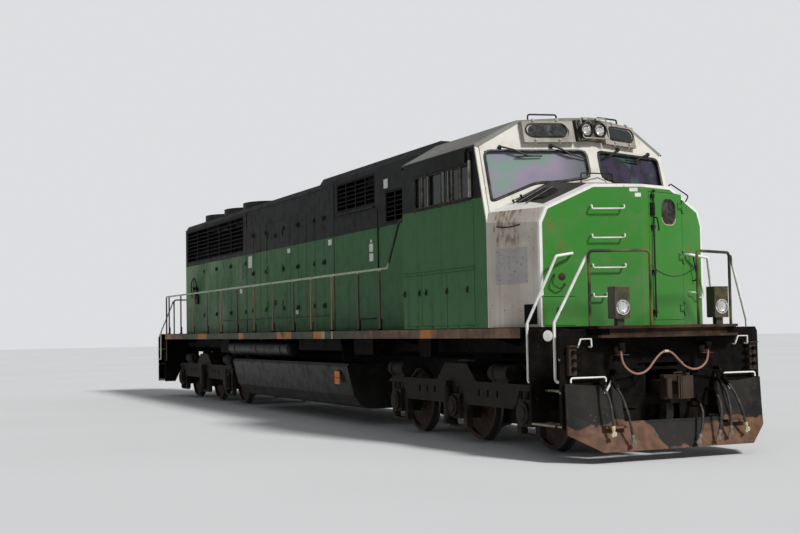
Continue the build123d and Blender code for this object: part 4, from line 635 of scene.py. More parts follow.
class Piece:
    """One mesh object, put together from closed solids. A piece of the right side mirrors what it is given."""

    def __init__(self, side=""):
        self.mesh = bmesh.new()
        self.side = side
        self.sign = -1 if side == "right" else 1

    def spot(self, point):
        return Vector((point[0], self.sign * point[1], point[2]))

    def ring(self, points):
        return [self.mesh.verts.new(point) for point in points]

    def circle(self, middle, side, up, radius, sides):
        return self.ring(middle + (side * math.cos(a) + up * math.sin(a)) * radius for a in turns(sides))

    def skin(self, rings, closed=False):
        """Faces from each ring to the next, with a cap on both ends unless the row is closed."""
        for ring, after in zip(rings, rings[1:] + rings[:1] if closed else rings[1:]):
            for k in range(len(ring)):
                m = (k + 1) % len(ring)
                self.mesh.faces.new((ring[k], ring[m], after[m], after[k]))
        if not closed:
            self.mesh.faces.new(rings[0][::-1])
            self.mesh.faces.new(rings[-1])

    def prism(self, loop, offset):
        """A loop of points swept by an offset."""
        loop = [self.spot(point) for point in loop]
        self.skin([self.ring(loop), self.ring(point + self.spot(offset) for point in loop)])

    def block(self, x, y, z):
        self.prism([(x[i], y[k], z[0]) for i, k in ((0, 0), (1, 0), (1, 1), (0, 1))], (0, 0, z[1] - z[0]))

    def bar(self, x, half, y, z):
        """A block centred on x."""
        self.block((x - half, x + half), y, z)

    def tube(self, points, radius, sides=10, closed=False):
        """A round bar through points, its rings turned smoothly from one to the next."""
        points = [self.spot(point) for point in points]
        rings, side = [], None
        for i, point in enumerate(points):
            before = points[i - 1] if i or closed else point
            after = points[(i + 1) % len(points)] if i < len(points) - 1 or closed else point
            along = ((after - point).normalized() + (point - before).normalized()).normalized()
            if side is None:
                side = along.orthogonal()
            side = (side - along * side.dot(along)).normalized()
            turn = (after - point).angle(point - before, 0) if after != point and before != point else 0
            wide = radius / max(math.cos(turn / 2), 0.5) if turn > 0.02 else radius
            rings.append(self.circle(point, side, along.cross(side), wide, sides))
        self.skin(rings, closed)

    def lathe(self, centre, axis, profile, sides=24):
        """A turned solid: (radius, distance along the axis) rows from its back to its front."""
        centre, axis = self.spot(centre), self.spot(axis).normalized()
        side = axis.orthogonal().normalized()
        up = axis.cross(side)
        self.skin([self.circle(centre + axis * along, side, up, radius, sides) for radius, along in profile])

    def done(self, name, look, slot=None, body="body", bevel=0.003):
        bmesh.ops.recalc_face_normals(self.mesh, faces=self.mesh.faces)
        name = f"{name}_{self.side}" if self.side else name
        data = bpy.data.meshes.new(name)
        self.mesh.to_mesh(data)
        self.mesh.free()
        data.polygons.foreach_set("use_smooth", [True] * len(data.polygons))
        data.set_sharp_from_angle(angle=math.radians(40))
        piece = linked(name, data, look)
        if bevel:
            rounding = piece.modifiers.new("rounding", "BEVEL")
            rounding.width = bevel
            rounding.segments = 2
            rounding.limit_method = "ANGLE"
            rounding.angle_limit = math.radians(50)
            rounding.harden_normals = True
        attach(piece, body)
        return piece


def arc(corner, back, ahead, reach, steps):
    """Points round a corner, from one leg to the other."""
    back, ahead = back.normalized() * reach, ahead.normalized() * reach
    return [corner + back * (1 - k / steps) ** 2 + ahead * (k / steps) ** 2 for k in range(steps + 1)]


def bent(points, radius, steps=5):
    """The points of a stiff rail, its corners turned on arcs."""
    points = [Vector(point) for point in points]
    route = [points[0]]
    for before, corner, after in zip(points, points[1:], points[2:]):
        back, ahead = before - corner, after - corner
        reach = radius * math.tan((math.pi - back.angle(ahead)) / 2)
        route += arc(corner, back, ahead, min(reach, back.length * 0.48, ahead.length * 0.48), steps)
    return route + [points[-1]]


def rounded_loop(points, radius):
    """Closed outline with its corners turned on arcs."""
    route = []
    for i, corner in enumerate(points):
        back, ahead = points[i - 1] - corner, points[(i + 1) % len(points)] - corner
        route += arc(corner, back, ahead, min(radius, back.length * 0.45, ahead.length * 0.45), 4)
    return route


def nose_out(y):
    return Vector((1, math.copysign(NOSE_V, y), 0)).normalized()


def nose_point(y, z, out=0.0):
    """A point on the nose front, out of it by a distance."""
    return Vector((NOSE_TIP_X - NOSE_V * abs(y), y, z)) + nose_out(y) * out


def nose_rail(rows, radius, steps=5):
    """A bent rail's points, from (y, z, out) rows on the nose front."""
    return bent([nose_point(*row) for row in rows], radius, steps)


def roof_out(plane, y):
    _, _, _, sx, sy = NOSE_ROOF[plane]
    return Vector((-sx, math.copysign(sy, y), 1)).normalized()


def roof_point(plane, x, y, out=0.0):
    """A point on one plane of the nose's top, out of it by a distance."""
    x0, y0, z0, sx, sy = NOSE_ROOF[plane]
    return Vector((x, y, z0 + sx * (x - x0) + sy * (abs(y) - y0))) + roof_out(plane, y) * out


def cab_out(y):
    return Vector((1, math.copysign(FRONT_V, y), FRONT_LEAN)).normalized()


def cab_point(y, z, out=0.0):
    """A point on the cab's leaning front."""
    lean = FRONT_LEAN if z > CAB_KNEE_Z else 0
    x = CAB_CORNER_X - lean * (z - CAB_KNEE_Z) + FRONT_V * (CAB_Y - abs(y))
    return Vector((x, y, z)) + cab_out(y) * out


# Hoses and cable, from the routes of the solids: each hose's length, then its route

HOSES = (
    (0.550, (10.600, -1.036, 0.933), (10.685, -1.035, 0.858), (10.750, -1.033, 0.733), (10.782, -1.030, 0.583),
     (10.782, -1.022, 0.438)),
    (0.680, (10.600, -0.855, 0.933), (10.688, -0.845, 0.853), (10.750, -0.825, 0.728), (10.790, -0.800, 0.578),
     (10.805, -0.775, 0.428), (10.800, -0.755, 0.318)),
    (0.497, (10.590, 0.420, 0.683), (10.680, 0.395, 0.618), (10.745, 0.350, 0.498), (10.780, 0.300, 0.368),
     (10.790, 0.262, 0.278)),
    (0.537, (10.640, 0.655, 0.803), (10.715, 0.645, 0.718), (10.775, 0.620, 0.588), (10.800, 0.585, 0.438),
     (10.800, 0.556, 0.318)),
    (0.625, (10.600, 0.760, 0.933), (10.685, 0.758, 0.856), (10.750, 0.755, 0.733), (10.785, 0.752, 0.588),
     (10.792, 0.750, 0.453), (10.785, 0.750, 0.364)),
    (0.605, (10.600, 0.860, 0.933), (10.684, 0.872, 0.858), (10.745, 0.898, 0.738), (10.782, 0.930, 0.608),
     (10.795, 0.962, 0.488), (10.788, 0.990, 0.400)),
)
HOSE_R = 0.017
CABLE_R = 0.014
CABLE_X = 10.660
CABLE = ((-0.800, 1.373), (-0.800, 1.248), (-0.705, 1.128), (-0.560, 1.068), (-0.410, 1.118), (-0.310, 1.238),
         (-0.225, 1.318), (-0.155, 1.353), (-0.085, 1.353), (-0.015, 1.318), (0.070, 1.233), (0.160, 1.153),
         (0.290, 1.108), (0.430, 1.140), (0.525, 1.243), (0.525, 1.368))


def cord_curve(name, points, radius, look):
    data = bpy.data.curves.new(name, "CURVE")
    data.dimensions = "3D"
    data.bevel_depth = radius
    data.bevel_resolution = 4
    data.resolution_u = 10
    data.use_fill_caps = True
    spline = data.splines.new("NURBS")
    spline.points.add(len(points) - 1)
    for at, point in zip(spline.points, points):
        at.co = (*point, 1)
    spline.order_u = 3
    spline.use_endpoint_u = True
    curve = linked(name, data, look)
    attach(curve, "body")
    return curve


def glad_hand(number, end, down):
    """Hose coupling: ferrule, neck and a hooked flat head with its gasket ring."""
    face = (Vector((1, 0, 0)) - down * down.x).normalized()
    across = down.cross(face)

    def at(along, side, out):
        return end + down * along + across * side + face * out

    piece = Piece()
    piece.lathe(end - down * 0.03, down, ((0.021, 0), (0.0235, 0.006), (0.0235, 0.045), (0.018, 0.052),
                                          (0.018, 0.075)), 18)
    head = ((0.040, -0.018), (0.050, -0.036), (0.084, -0.040), (0.100, -0.022), (0.100, 0.010), (0.094, 0.036),
            (0.076, 0.042), (0.070, 0.026), (0.052, 0.022), (0.040, 0.018))
    hook = ((0.078, 0.020), (0.100, 0.014), (0.104, 0.036), (0.082, 0.042))
    piece.prism([at(a, s, -0.013) for a, s in head], face * 0.026)
    piece.lathe(at(0.072, -0.008, 0.010), face, ((0.021, 0), (0.021, 0.010), (0.015, 0.012), (0.012, 0.006)), 18)
    piece.prism([at(a, s, 0.006) for a, s in hook], face * 0.020)
    return piece.done(f"glad_hand_{number}", "metal")


def build_cords():
    hands = []
    for number, (length, *route) in enumerate(HOSES, 1):
        hose = cord_curve(f"hose_line_{number}", route, HOSE_R, "rubber")
        start, after, before, end = (Vector(route[k]) for k in (0, 1, -2, -1))
        hand = glad_hand(number, end, (end - before).normalized())
        hands.append(hand)
        clamp = Piece()
        out = (after - start).normalized()
        clamp.lathe(start + out * 0.004, out, ((0.020, 0), (0.0245, 0.004), (0.0245, 0.030), (0.020, 0.034)), 18)
        collar = clamp.done(f"hose_clamp_{number}", "frame", bevel=0.001)
        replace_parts(hose, f"hose_front_{number}")
    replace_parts(hands[0], "glad_hands_front")
    route = [(CABLE_X, y, z) for y, z in CABLE]
    cable = cord_curve("jumper_line", route, CABLE_R, "cable")
    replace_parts(cable, "jumper_cable")


def build_stage():
    reach = 150
    data = bpy.data.meshes.new("studio_floor")
    data.from_pydata([(-reach, -reach, 0), (reach, -reach, 0), (reach, reach, 0), (-reach, reach, 0)], [],
                     [(0, 1, 2, 3)])
    linked("studio_floor", data, "stage")


# Nose front

def nose_plate(piece, y0, y1, z0, z1, out, thick):
    loop = [nose_point(y, z, out) for y, z in ((y0, z0), (y1, z0), (y1, z1), (y0, z1))]
    piece.prism(loop, nose_out(y0) * thick)


def build_nose_front():
    hatch, latch, hook, plates, grab, bar = (Piece() for _ in range(6))
    nose_plate(hatch, -1.28, -0.87, 1.700, 2.068, -0.002, 0.012)
    nose_plate(hatch, -1.285, -0.865, 2.076, 2.090, -0.002, 0.020)
    hatch.done("nose_hatch", "green")
    nose_plate(latch, -1.10, -1.05, 1.86, 1.93, 0.008, 0.012)
    latch.tube(nose_rail(((-1.10, 1.90, 0.02), (-1.10, 1.87, 0.035), (-1.05, 1.87, 0.035), (-1.05, 1.90, 0.02)),
                         0.01, 3), 0.005, 8)
    latch.done("nose_hatch_latch", "black", bevel=0.002)
    hook.tube(nose_rail(((-1.13, 2.36, -0.01), (-1.13, 2.36, 0.05), (-1.17, 2.24, 0.06), (-1.08, 2.17, 0.06),
                         (-1.00, 2.21, 0.05), (-1.00, 2.25, -0.01)), 0.05, 6), 0.009, 8)
    hook.lathe(nose_point(-1.03, 2.33, -0.003), nose_out(-1), ((0.050, 0), (0.050, 0.006), (0.042, 0.010)), 20)
    hook.done("nose_hook", "coupler", bevel=0.001)
    for spans in ((-0.150, -0.045, 3.436, 3.484), (-0.082, -0.004, 3.366, 3.418)):
        nose_plate(plates, *spans, -0.002, 0.006)
    plates.done("nose_blank_plates", "white", bevel=0.002)
    grab.tube(nose_rail(((1.00, 2.62, -0.01), (1.00, 2.62, 0.06), (1.02, 2.50, 0.07), (1.06, 2.36, 0.07),
                         (1.06, 2.28, 0.06), (1.06, 2.28, -0.01)), 0.04), 0.009, 8)
    grab.done("nose_corner_grab", "black", bevel=0)
    bar.tube(nose_rail(((0.95, 2.12, -0.01), (0.95, 2.12, 0.06), (1.02, 2.12, 0.07), (1.10, 2.05, 0.07),
                        (1.22, 2.05, 0.06), (1.22, 2.05, -0.01)), 0.03), 0.008, 8)
    bar.done("nose_corner_bar", "white", bevel=0)


def build_nose_door():
    """Latch rod, window ring and pane, and hinge bolts, all on the door."""
    rod, ring, pane, trim, bolts = (Piece() for _ in range(5))
    rod_y = 0.205
    rod.tube([nose_point(rod_y, z, 0.035) for z in (1.78, 2.3, 2.9, 3.42)], 0.011, 10)
    for z in (1.83, 2.36, 2.95, 3.36):
        nose_plate(rod, 0.180, 0.232, z, z + 0.05, -0.002, 0.042)
    nose_plate(rod, 0.172, 0.250, 3.13, 3.30, -0.002, 0.030)
    rod.tube(nose_rail(((rod_y, 3.10, 0.03), (rod_y, 3.10, 0.085), (0.23, 3.00, 0.09), (0.235, 2.92, 0.09)), 0.02, 4),
             0.010, 10)
    rod.tube([nose_point(0.215, 3.445, 0.02), nose_point(0.225, 3.46, 0.045)], 0.02, 10)
    rod.done("nose_door_latch", "black", body="nose_door", bevel=0.002)

    centre_s, centre_z, half_s, half_z, corner = 0.598, 3.198, 0.142, 0.160, 0.105
    stretch = math.hypot(1, NOSE_V)
    loop = [(math.copysign(half_s - corner, math.cos(a)) + corner * math.cos(a),
             math.copysign(half_z - corner, math.sin(a)) + corner * math.sin(a)) for a in turns(40)]

    def window(scale_s, scale_z, out, rows=loop):
        return [nose_point((centre_s + s * scale_s) / stretch, centre_z + z * scale_z, out) for s, z in rows]

    ring.tube(window(1, 1, 0.001), 0.013, 8, closed=True)
    ring.done("nose_door_window_seal", "seal", body="nose_door", bevel=0)
    pane.prism(window(0.98, 0.98, -0.006), nose_out(1) * 0.006)
    pane.done("nose_door_pane", "seal", body="nose_door", bevel=0)
    trim.tube(window(1.13, 1.12, 0.0, [row for row in loop if row[1] < -0.06]), 0.008, 8)
    trim.done("nose_door_window_trim", "metal", body="nose_door", bevel=0)
    bolt = ((0.008, 0), (0.008, 0.006), (0.004, 0.009))
    for z in (1.908, 2.598, 3.288):
        for dz in (-0.03, 0.03):
            for y in (0.79, 0.825):
                bolts.lathe(nose_point(y, z + dz, 0.012), nose_out(1), bolt, 8)
    bolts.done("nose_door_bolts", "black", body="nose_door", bevel=0)


def build_nose_top():
    """Raised tread pad with straps on the right shoulder, and two low grabs."""
    pad, straps, grabs = Piece(), Piece(), Piece()
    outline = ((8.86, -1.215), (8.90, -0.86), (9.22, -0.80), (9.36, -0.84), (9.32, -1.03), (9.02, -1.20))
    out = roof_out(1, -1)
    pad.prism([roof_point(1, x, y, -0.002) for x, y in outline], out * 0.018)
    pad.done("nose_top_pad", "black", bevel=0.006)
    for x in (8.98, 9.16):
        straps.tube([roof_point(1, x, y, 0.020) for y in (-1.22, -1.02, -0.80)], 0.010, 8)
    for x, y in ((8.84, -1.10), (8.86, -1.235)):
        straps.lathe(roof_point(1, x, y, -0.002), out, ((0.016, 0), (0.016, 0.05), (0.010, 0.056)), 12)
    straps.done("nose_top_straps", "seal", bevel=0)
    for plane, x, y0, y1, rise, feet in ((0, 9.10, -0.31, 0.20, Vector((0, 0, 0.135)), (0.1, 0.3)),
                                         (1, 9.75, 0.65, 0.95, roof_out(1, 1) * 0.07, (0.2, 0.2))):
        a, b = roof_point(plane, x, y0), roof_point(plane, x, y1)
        grabs.tube(bent([a - rise * feet[0], a + rise, b + rise, b - rise * feet[1]], 0.03), 0.009, 10)
    grabs.done("nose_top_grabs", "black", bevel=0)


def build_nose_side():
    """Black vent low on each nose side and the dented step above the worn patch."""
    run = (CAB_Y - NOSE_CORNER_Y) / (NOSE_SIDE_END_X - CAB_CORNER_X)
    face = Vector((run, 1, 0)).normalized()

    def at(x, z, out=0.0):
        return Vector((x, CAB_Y - run * (x - CAB_CORNER_X), z)) + face * out

    for side in SIDES:
        vent, dent = Piece(side), Piece(side)
        vent.prism([at(x, z, -0.002) for x, z in ((9.33, 1.72), (9.55, 1.72), (9.55, 1.98), (9.33, 1.98))],
                   face * 0.010)
        for k in range(5):
            z = 1.752 + 0.045 * k
            blade = ((9.345, z, 0.006), (9.535, z, 0.006), (9.535, z + 0.012, 0.016), (9.345, z + 0.012, 0.016))
            vent.prism([at(*row) for row in blade], face * 0.004)
        vent.done("nose_vent", "grille", bevel=0.002)
        dent.tube([at(8.856 + 0.424 * t, 3.040 - 0.022 * math.sin(math.pi * t), 0.002)
                   for t in (k / 10 for k in range(11))], 0.010, 8)
        dent.done("nose_side_lip", "coupler", bevel=0)


# Cab front

WINDSCREEN = ((0.094, 3.744), (0.094, 4.126), (1.450, 4.132), (1.450, 3.423), (1.400, 3.428), (0.831, 3.668),
              (0.510, 3.683))
# Pivot, elbow, and the blade's two ends
WIPERS = (
    ((1.235, 4.180), (0.890, 4.050), (1.040, 4.045), (0.690, 4.050)),
    ((0.549, 4.190), (0.300, 4.055), (0.420, 4.105), (0.110, 4.010)),
)


def wiper(piece, sign, *places):
    """Arm from its pivot to the blade."""
    pivot, elbow, a, b = (Vector(place) for place in places)

    def at(place, out):
        return cab_point(sign * place[0], place[1], out)

    piece.lathe(at(pivot, -0.004), cab_out(sign), ((0.030, 0), (0.030, 0.030), (0.020, 0.045)), 14)
    piece.tube([at(pivot, 0.040), at((pivot + elbow) / 2 + Vector((0, 0.01)), 0.055), at(elbow, 0.030)], 0.013, 8)
    piece.tube([at(a, 0.012), at((a + b) / 2, 0.018), at(b, 0.012)], 0.011, 6)
    piece.tube([at(a.lerp(b, 0.3), 0.018), at(elbow, 0.032), at(a.lerp(b, 0.7), 0.018)], 0.006, 6)


def build_windscreens():
    for sign, side in zip((-1, 1), SIDES):
        seal, wipers = Piece(), Piece()
        loop = rounded_loop([cab_point(sign * y, z, 0.002) for y, z in WINDSCREEN], 0.100)
        seal.tube(loop, 0.021, 8, closed=True)
        seal.done(f"windscreen_seal_{side}", "seal", bevel=0)
        for row in WIPERS:
            wiper(wipers, sign, *row)
        wipers.done(f"wipers_{side}", "black", bevel=0)


def build_boards():
    """Blank number boards: clips, rim and a dark pill of glass."""
    z_mid, y_mid, end_r = 4.398, 0.590, 0.092
    pill = [(y_mid + math.copysign(2 * end_r, math.cos(a)) + end_r * math.cos(a), z_mid + end_r * math.sin(a))
            for a in turns(36)]
    for sign, side in zip((-1, 1), SIDES):
        def at(y, z, out):
            return cab_point(sign * y, z, out)
        out = cab_out(sign)
        clips, rim, face = Piece(), Piece(), Piece()
        for y in (0.43, 0.75):
            for z, drop in ((4.255, -0.045), (4.540, 0.03)):
                clips.lathe(at(y, z, 0.084), out, ((0.020, 0), (0.020, 0.016), (0.012, 0.020)), 12)
                clips.tube([at(y, z, 0.092), at(y + 0.004, z + drop, 0.06)], 0.011, 8)
        clips.done(f"number_board_clips_{side}", "board", bevel=0.002)
        rim.tube([at(y, z, 0.091) for y, z in pill], 0.010, 8, closed=True)
        rim.done(f"number_board_rim_{side}", "seal", bevel=0)
        face.prism([at(y, z, 0.070) for y, z in pill], out * 0.012)
        face.done(f"number_board_glass_{side}", "board_glass", bevel=0)


HEAD_Y, HEAD_Z, REAR_LAMP_Z = 0.108, 4.418, 4.293
DITCH_Y, DITCH_Z = 0.760, 1.908


def lamp(piece, glass, centre, axis, radius, depth):
    """Sealed lamp: a stepped bowl with a domed lens in front."""
    bowl = ((0.18, 0.004), (0.55, depth * 0.30), (0.85, depth * 0.70), (1, depth), (1.02, depth), (1.02, 0.0))
    lens = ((0.96, 0.001), (0.96, 0.006), (0.70, 0.015), (0.30, 0.020))
    piece.lathe(centre, axis, [(radius * share, along) for share, along in bowl], 28)
    glass.lathe(centre, axis, [(radius * share, depth + along) for share, along in lens], 28)


def lamp_ring(piece, x, y, z, radius):
    piece.tube([(x, y + radius * math.cos(a), z + radius * math.sin(a)) for a in turns(28)], 0.012, 8, closed=True)


def build_lamps():
    bowls, lenses, rings, cases, frame, cups = (Piece() for _ in range(6))
    for x, across, z, axis, radius, depth in ((8.886, HEAD_Y, HEAD_Z, 1, 0.083, 0.062),
                                              (10.640, DITCH_Y, DITCH_Z, 1, 0.076, 0.022),
                                              (-9.640, HEAD_Y, REAR_LAMP_Z, -1, 0.083, 0.032)):
        for y in (-across, across):
            lamp(bowls, lenses, (x, y, z), (axis, 0, 0), radius, depth)
    for y in (-DITCH_Y, DITCH_Y):
        lamp_ring(rings, 10.668, y, DITCH_Z, 0.088)
    bowls.done("lamp_bowls", "chrome", bevel=0)
    rings.done("lamp_rings", "chrome", bevel=0)
    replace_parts(lenses.done("lamp_glasses", "glass", bevel=0), "lamp_lenses")
    for y in (-DITCH_Y, DITCH_Y):
        cases.block((10.500, 10.668), (y - 0.110, y + 0.110), (2.152, 2.166))
        for near, far in ((-0.109, -0.104), (0.104, 0.109)):
            cases.block((10.496, 10.664), (y + near, y + far), (1.772, 2.155))
        for dy in (-0.08, 0.08):
            for z in (1.80, 2.12):
                cases.lathe((10.663, y + dy, z), (1, 0, 0), ((0.009, 0), (0.009, 0.006), (0.005, 0.009)), 8)
    cases.done("ditch_lamp_covers", "lamp_case")
    corners = ((-0.212, 4.268), (0.212, 4.268), (0.212, 4.563), (-0.212, 4.563))
    frame.tube(rounded_loop([cab_point(0.001, z, 0.110) + Vector((0, y, 0)) for y, z in corners], 0.03), 0.009, 8,
               closed=True)
    for y in (-HEAD_Y, HEAD_Y):
        frame.block((8.860, 8.925), (y - 0.03, y + 0.03), (4.560, 4.590))
        for x in (8.938, 8.956, 8.974):
            lamp_ring(cups, x, y, HEAD_Z, 0.096)
    frame.done("head_lamp_frame", "board")
    cups.done("head_lamp_cups", "black", "frame_black", bevel=0)


# Cab sides

WINDOW_LOW, WINDOW_HIGH = 3.508, 3.973


def build_cab_sides():
    for side in SIDES:
        bars, sealant, strips, gutter, panels, locks = (Piece(side) for _ in range(6))
        for x, half in ((7.34, 0.006), (7.555, 0.010)):
            bars.bar(x, half, (CAB_Y - 0.028, CAB_Y - 0.004), (WINDOW_LOW, WINDOW_HIGH))
        bars.done("side_window_bars", "alloy", bevel=0.002)
        sealant.tube([(6.35 + 0.06 * k, CAB_Y + 0.004, WINDOW_LOW - 0.035 + DRAW.uniform(-0.008, 0.008))
                      for k in range(32)], 0.011, 6)
        sealant.done("side_window_sealant", "coupler", bevel=0)
        for x in (6.865, 7.535):
            strips.tube([(x + DRAW.uniform(-0.008, 0.008), CAB_Y + 0.004, WINDOW_LOW + 0.05 * k) for k in range(10)],
                        0.010, 6)
        strips.done("side_window_strips", "board", "cab_cream", bevel=0)
        gutter.tube([(x, CAB_Y + 0.012, 4.205) for x in (5.96, 7.1, 8.36)], 0.016, 8)
        gutter.tube([(5.955, CAB_Y + 0.01, 4.19), (5.975, CAB_Y + 0.03, 4.16)], 0.012, 8)
        gutter.done("side_gutter", "black", "roof_black", bevel=0.004)
        # Rail over the lower doors, the doors, the plate above them and the hinges (x span, how thick, z span)
        for x, thick, z in (
            ((5.950, 8.300), 0.022, (2.500, 2.528)), ((5.962, 6.595), 0.006, (1.735, 2.492)),
            ((6.607, 7.438), 0.006, (1.735, 2.492)), ((7.450, 8.288), 0.006, (1.735, 2.492)),
            ((5.952, 8.290), 0.005, (2.536, 3.428)), ((6.05, 6.42), 0.018, (1.698, 1.718)),
            ((6.55, 6.95), 0.018, (1.698, 1.718)), ((7.05, 7.45), 0.018, (1.698, 1.718)),
            ((7.60, 7.78), 0.018, (1.698, 1.718)), ((7.95, 8.25), 0.018, (1.698, 1.718)),
        ):
            panels.block(x, (CAB_Y - 0.002, CAB_Y + thick), z)
        panels.done("cab_side_panels", "livery")
        for x in (5.995, 6.525, 6.755, 7.447, 8.085):
            locks.bar(x, 0.022, (CAB_Y, CAB_Y + 0.014), (2.175, 2.275))
            locks.tube([(x, CAB_Y + 0.018, 2.25), (x, CAB_Y + 0.032, 2.19)], 0.009, 8)
        locks.done("cab_side_latches", "black")


# Long hood

# Seams between the door panels (x), and the heights that they end at
ENGINE_SEAMS = (-4.098, -3.5725, -3.0725, -1.075, -0.575, -0.075, 0.425, 0.9325, 1.440)
RADIATOR_SEAMS = (-7.790, -7.180, -6.570, -5.960, -5.350, -4.740)
SEAMS = ((ENGINE_SEAMS, 4.100), (RADIATOR_SEAMS, 3.420))
# Latch handles (x), and their heights
ENGINE_LATCHES = (-3.630, -3.515, -2.685, -1.465, -0.630, -0.520, 0.370, 0.880, 0.985)
RADIATOR_LATCHES = (-7.735, -6.625, -6.515, -5.405, -5.295, -4.170)
LATCHES = ((ENGINE_LATCHES, (2.18, 3.02, 3.88)), (RADIATOR_LATCHES, (2.16, 3.28)))
# Blank plates (rear x, front x, low z, high z)
HOOD_PLATES = ((3.175, 3.345, 3.075, 3.215), (3.175, 3.345, 2.905, 3.045), (3.225, 3.290, 3.235, 3.290),
               (1.150, 1.330, 3.330, 3.440), (-1.240, -1.070, 3.330, 3.425), (-3.960, -3.690, 3.160, 3.430),
               (-4.640, -4.470, 2.600, 2.700), (-0.750, -0.600, 2.040, 2.120), (3.850, 4.020, 4.130, 4.290))
# Posts between the hood's lengths, sills of the intakes and the long ledge (x span, how thick, z span)
HOOD_STRIPS = (((3.548, 3.582), 0.022, (1.690, 3.480)), ((1.436, 1.456), 0.010, (1.690, 4.460)),
               ((-4.118, -4.098), 0.010, (1.690, 4.460)), ((1.640, 3.430), 0.055, (3.848, 3.868)),
               ((2.740, 3.440), 0.040, (1.880, 1.900)), ((-6.060, 1.430), 0.009, (1.972, 1.986)))
RING_X, RING_Z, RING_R, RING_HALF = -4.44, 3.105, 0.055, 0.105


def build_hood_sides():
    for side in SIDES:
        latches, plates, dark, door, ring, edge = (Piece(side) for _ in range(6))
        for row, heights in LATCHES:
            for x in row:
                for z in heights:
                    latches.tube([(x, HOOD_Y + 0.022, z + 0.03), (x, HOOD_Y + 0.036, z - 0.04)], 0.008, 8)
        latches.done("hood_latches", "black", bevel=0.002)
        for x0, x1, z0, z1 in HOOD_PLATES:
            plates.block((x0, x1), (HOOD_Y, HOOD_Y + 0.012), (z0, z1))
        plates.done("hood_blank_plates", "white", bevel=0.002)
        door.block((1.560, 2.220), (HOOD_Y, HOOD_Y + 0.0095), (1.885, 2.640))
        door.done("low_hood_door", "livery", bevel=0.004)
        for row, high in SEAMS:
            for x in row:
                dark.bar(x, 0.006, (HOOD_Y - 0.002, HOOD_Y + 0.003), (2.0, high))
        for x, thick, z in HOOD_STRIPS:
            dark.block(x, (HOOD_Y - 0.002, HOOD_Y + thick), z)
        dark.done("hood_dark_strips", "black")
        ring.tube([(RING_X + RING_R * math.cos(a), HOOD_Y + 0.035,
                    RING_Z + math.copysign(RING_HALF, math.sin(a)) + RING_R * math.sin(a)) for a in turns(24, 0.5)],
                  0.010, 8, closed=True)
        for z in (2.97, 3.24):
            ring.tube([(RING_X, HOOD_Y - 0.002, z), (RING_X, HOOD_Y + 0.035, z)], 0.010, 8)
        ring.done("hood_ring", "board", "rail_paint", bevel=0.002)
        edge.block((-9.600, 0.700), (HOOD_Y - 0.001, HOOD_Y + 0.012), (4.454, 4.464))
        edge.done("hood_roof_seam", "motor", bevel=0.002)


def build_brake_grids():
    """Banks of resistor plates behind the brake and filter openings."""
    banks = Piece()
    pitch = 0.11
    for x0, x1, z0, z1 in ((1.700, 3.350, 3.840, 4.400), (3.950, 4.610, 3.480, 4.060)):
        banks.block((x0, x1), (-0.600, 0.600), (z0, z1))
        for k in range(int((x1 - x0) / pitch)):
            banks.bar(x0 + pitch / 2 + pitch * k, 0.015, (-0.680, 0.680), (z0 + 0.03, z1 - 0.03))
    banks.done("brake_grid_banks", "grille", bevel=0)


# Sill, tank and underframe

POSTS_X = (-9.300, -8.060, -6.820, -5.560, -4.350, -3.100, -1.850, -0.610, 0.630, 1.620, 2.690, 3.930, 4.840)


def build_sill():
    pitch = 1.188
    for side in SIDES:
        strip, feet = Piece(side), Piece(side)
        for k in range(16):
            x = -9.50 + pitch * k
            strip.block((x + 0.004, x + pitch - 0.004), (1.560, 1.566), (1.541, 1.674))
        strip.done("sill_face", "sill", bevel=0.002)
        for x in POSTS_X:
            feet.bar(x, 0.035, (1.470, 1.530), (1.683, 1.700))
            feet.bar(x, 0.030, (1.470, 1.486), (1.690, 1.860))
        feet.done("post_feet", "frame")


def build_tank_trim():
    x, y = 3.10, 1.475
    fillers, tags = Piece(), Piece()
    for sign in (-1, 1):
        fillers.sign = tags.sign = sign
        fillers.tube(bent([(x, 1.20, 1.12), (x, 1.42, 1.12), (x, y, 1.34), (x, y, 1.42)], 0.08), 0.024, 12)
        fillers.lathe((x, y, 1.41), (0, 0, 1), ((0.036, 0), (0.036, 0.035), (0.026, 0.045)), 16)
        for z0, z1 in ((0.735, 0.845), (0.855, 0.965)):
            tags.block((2.760, 2.990), (1.484, 1.500), (z0, z1))
    fillers.done("tank_fillers", "frame", bevel=0.002)
    tags.done("tank_blank_tags", "orange")


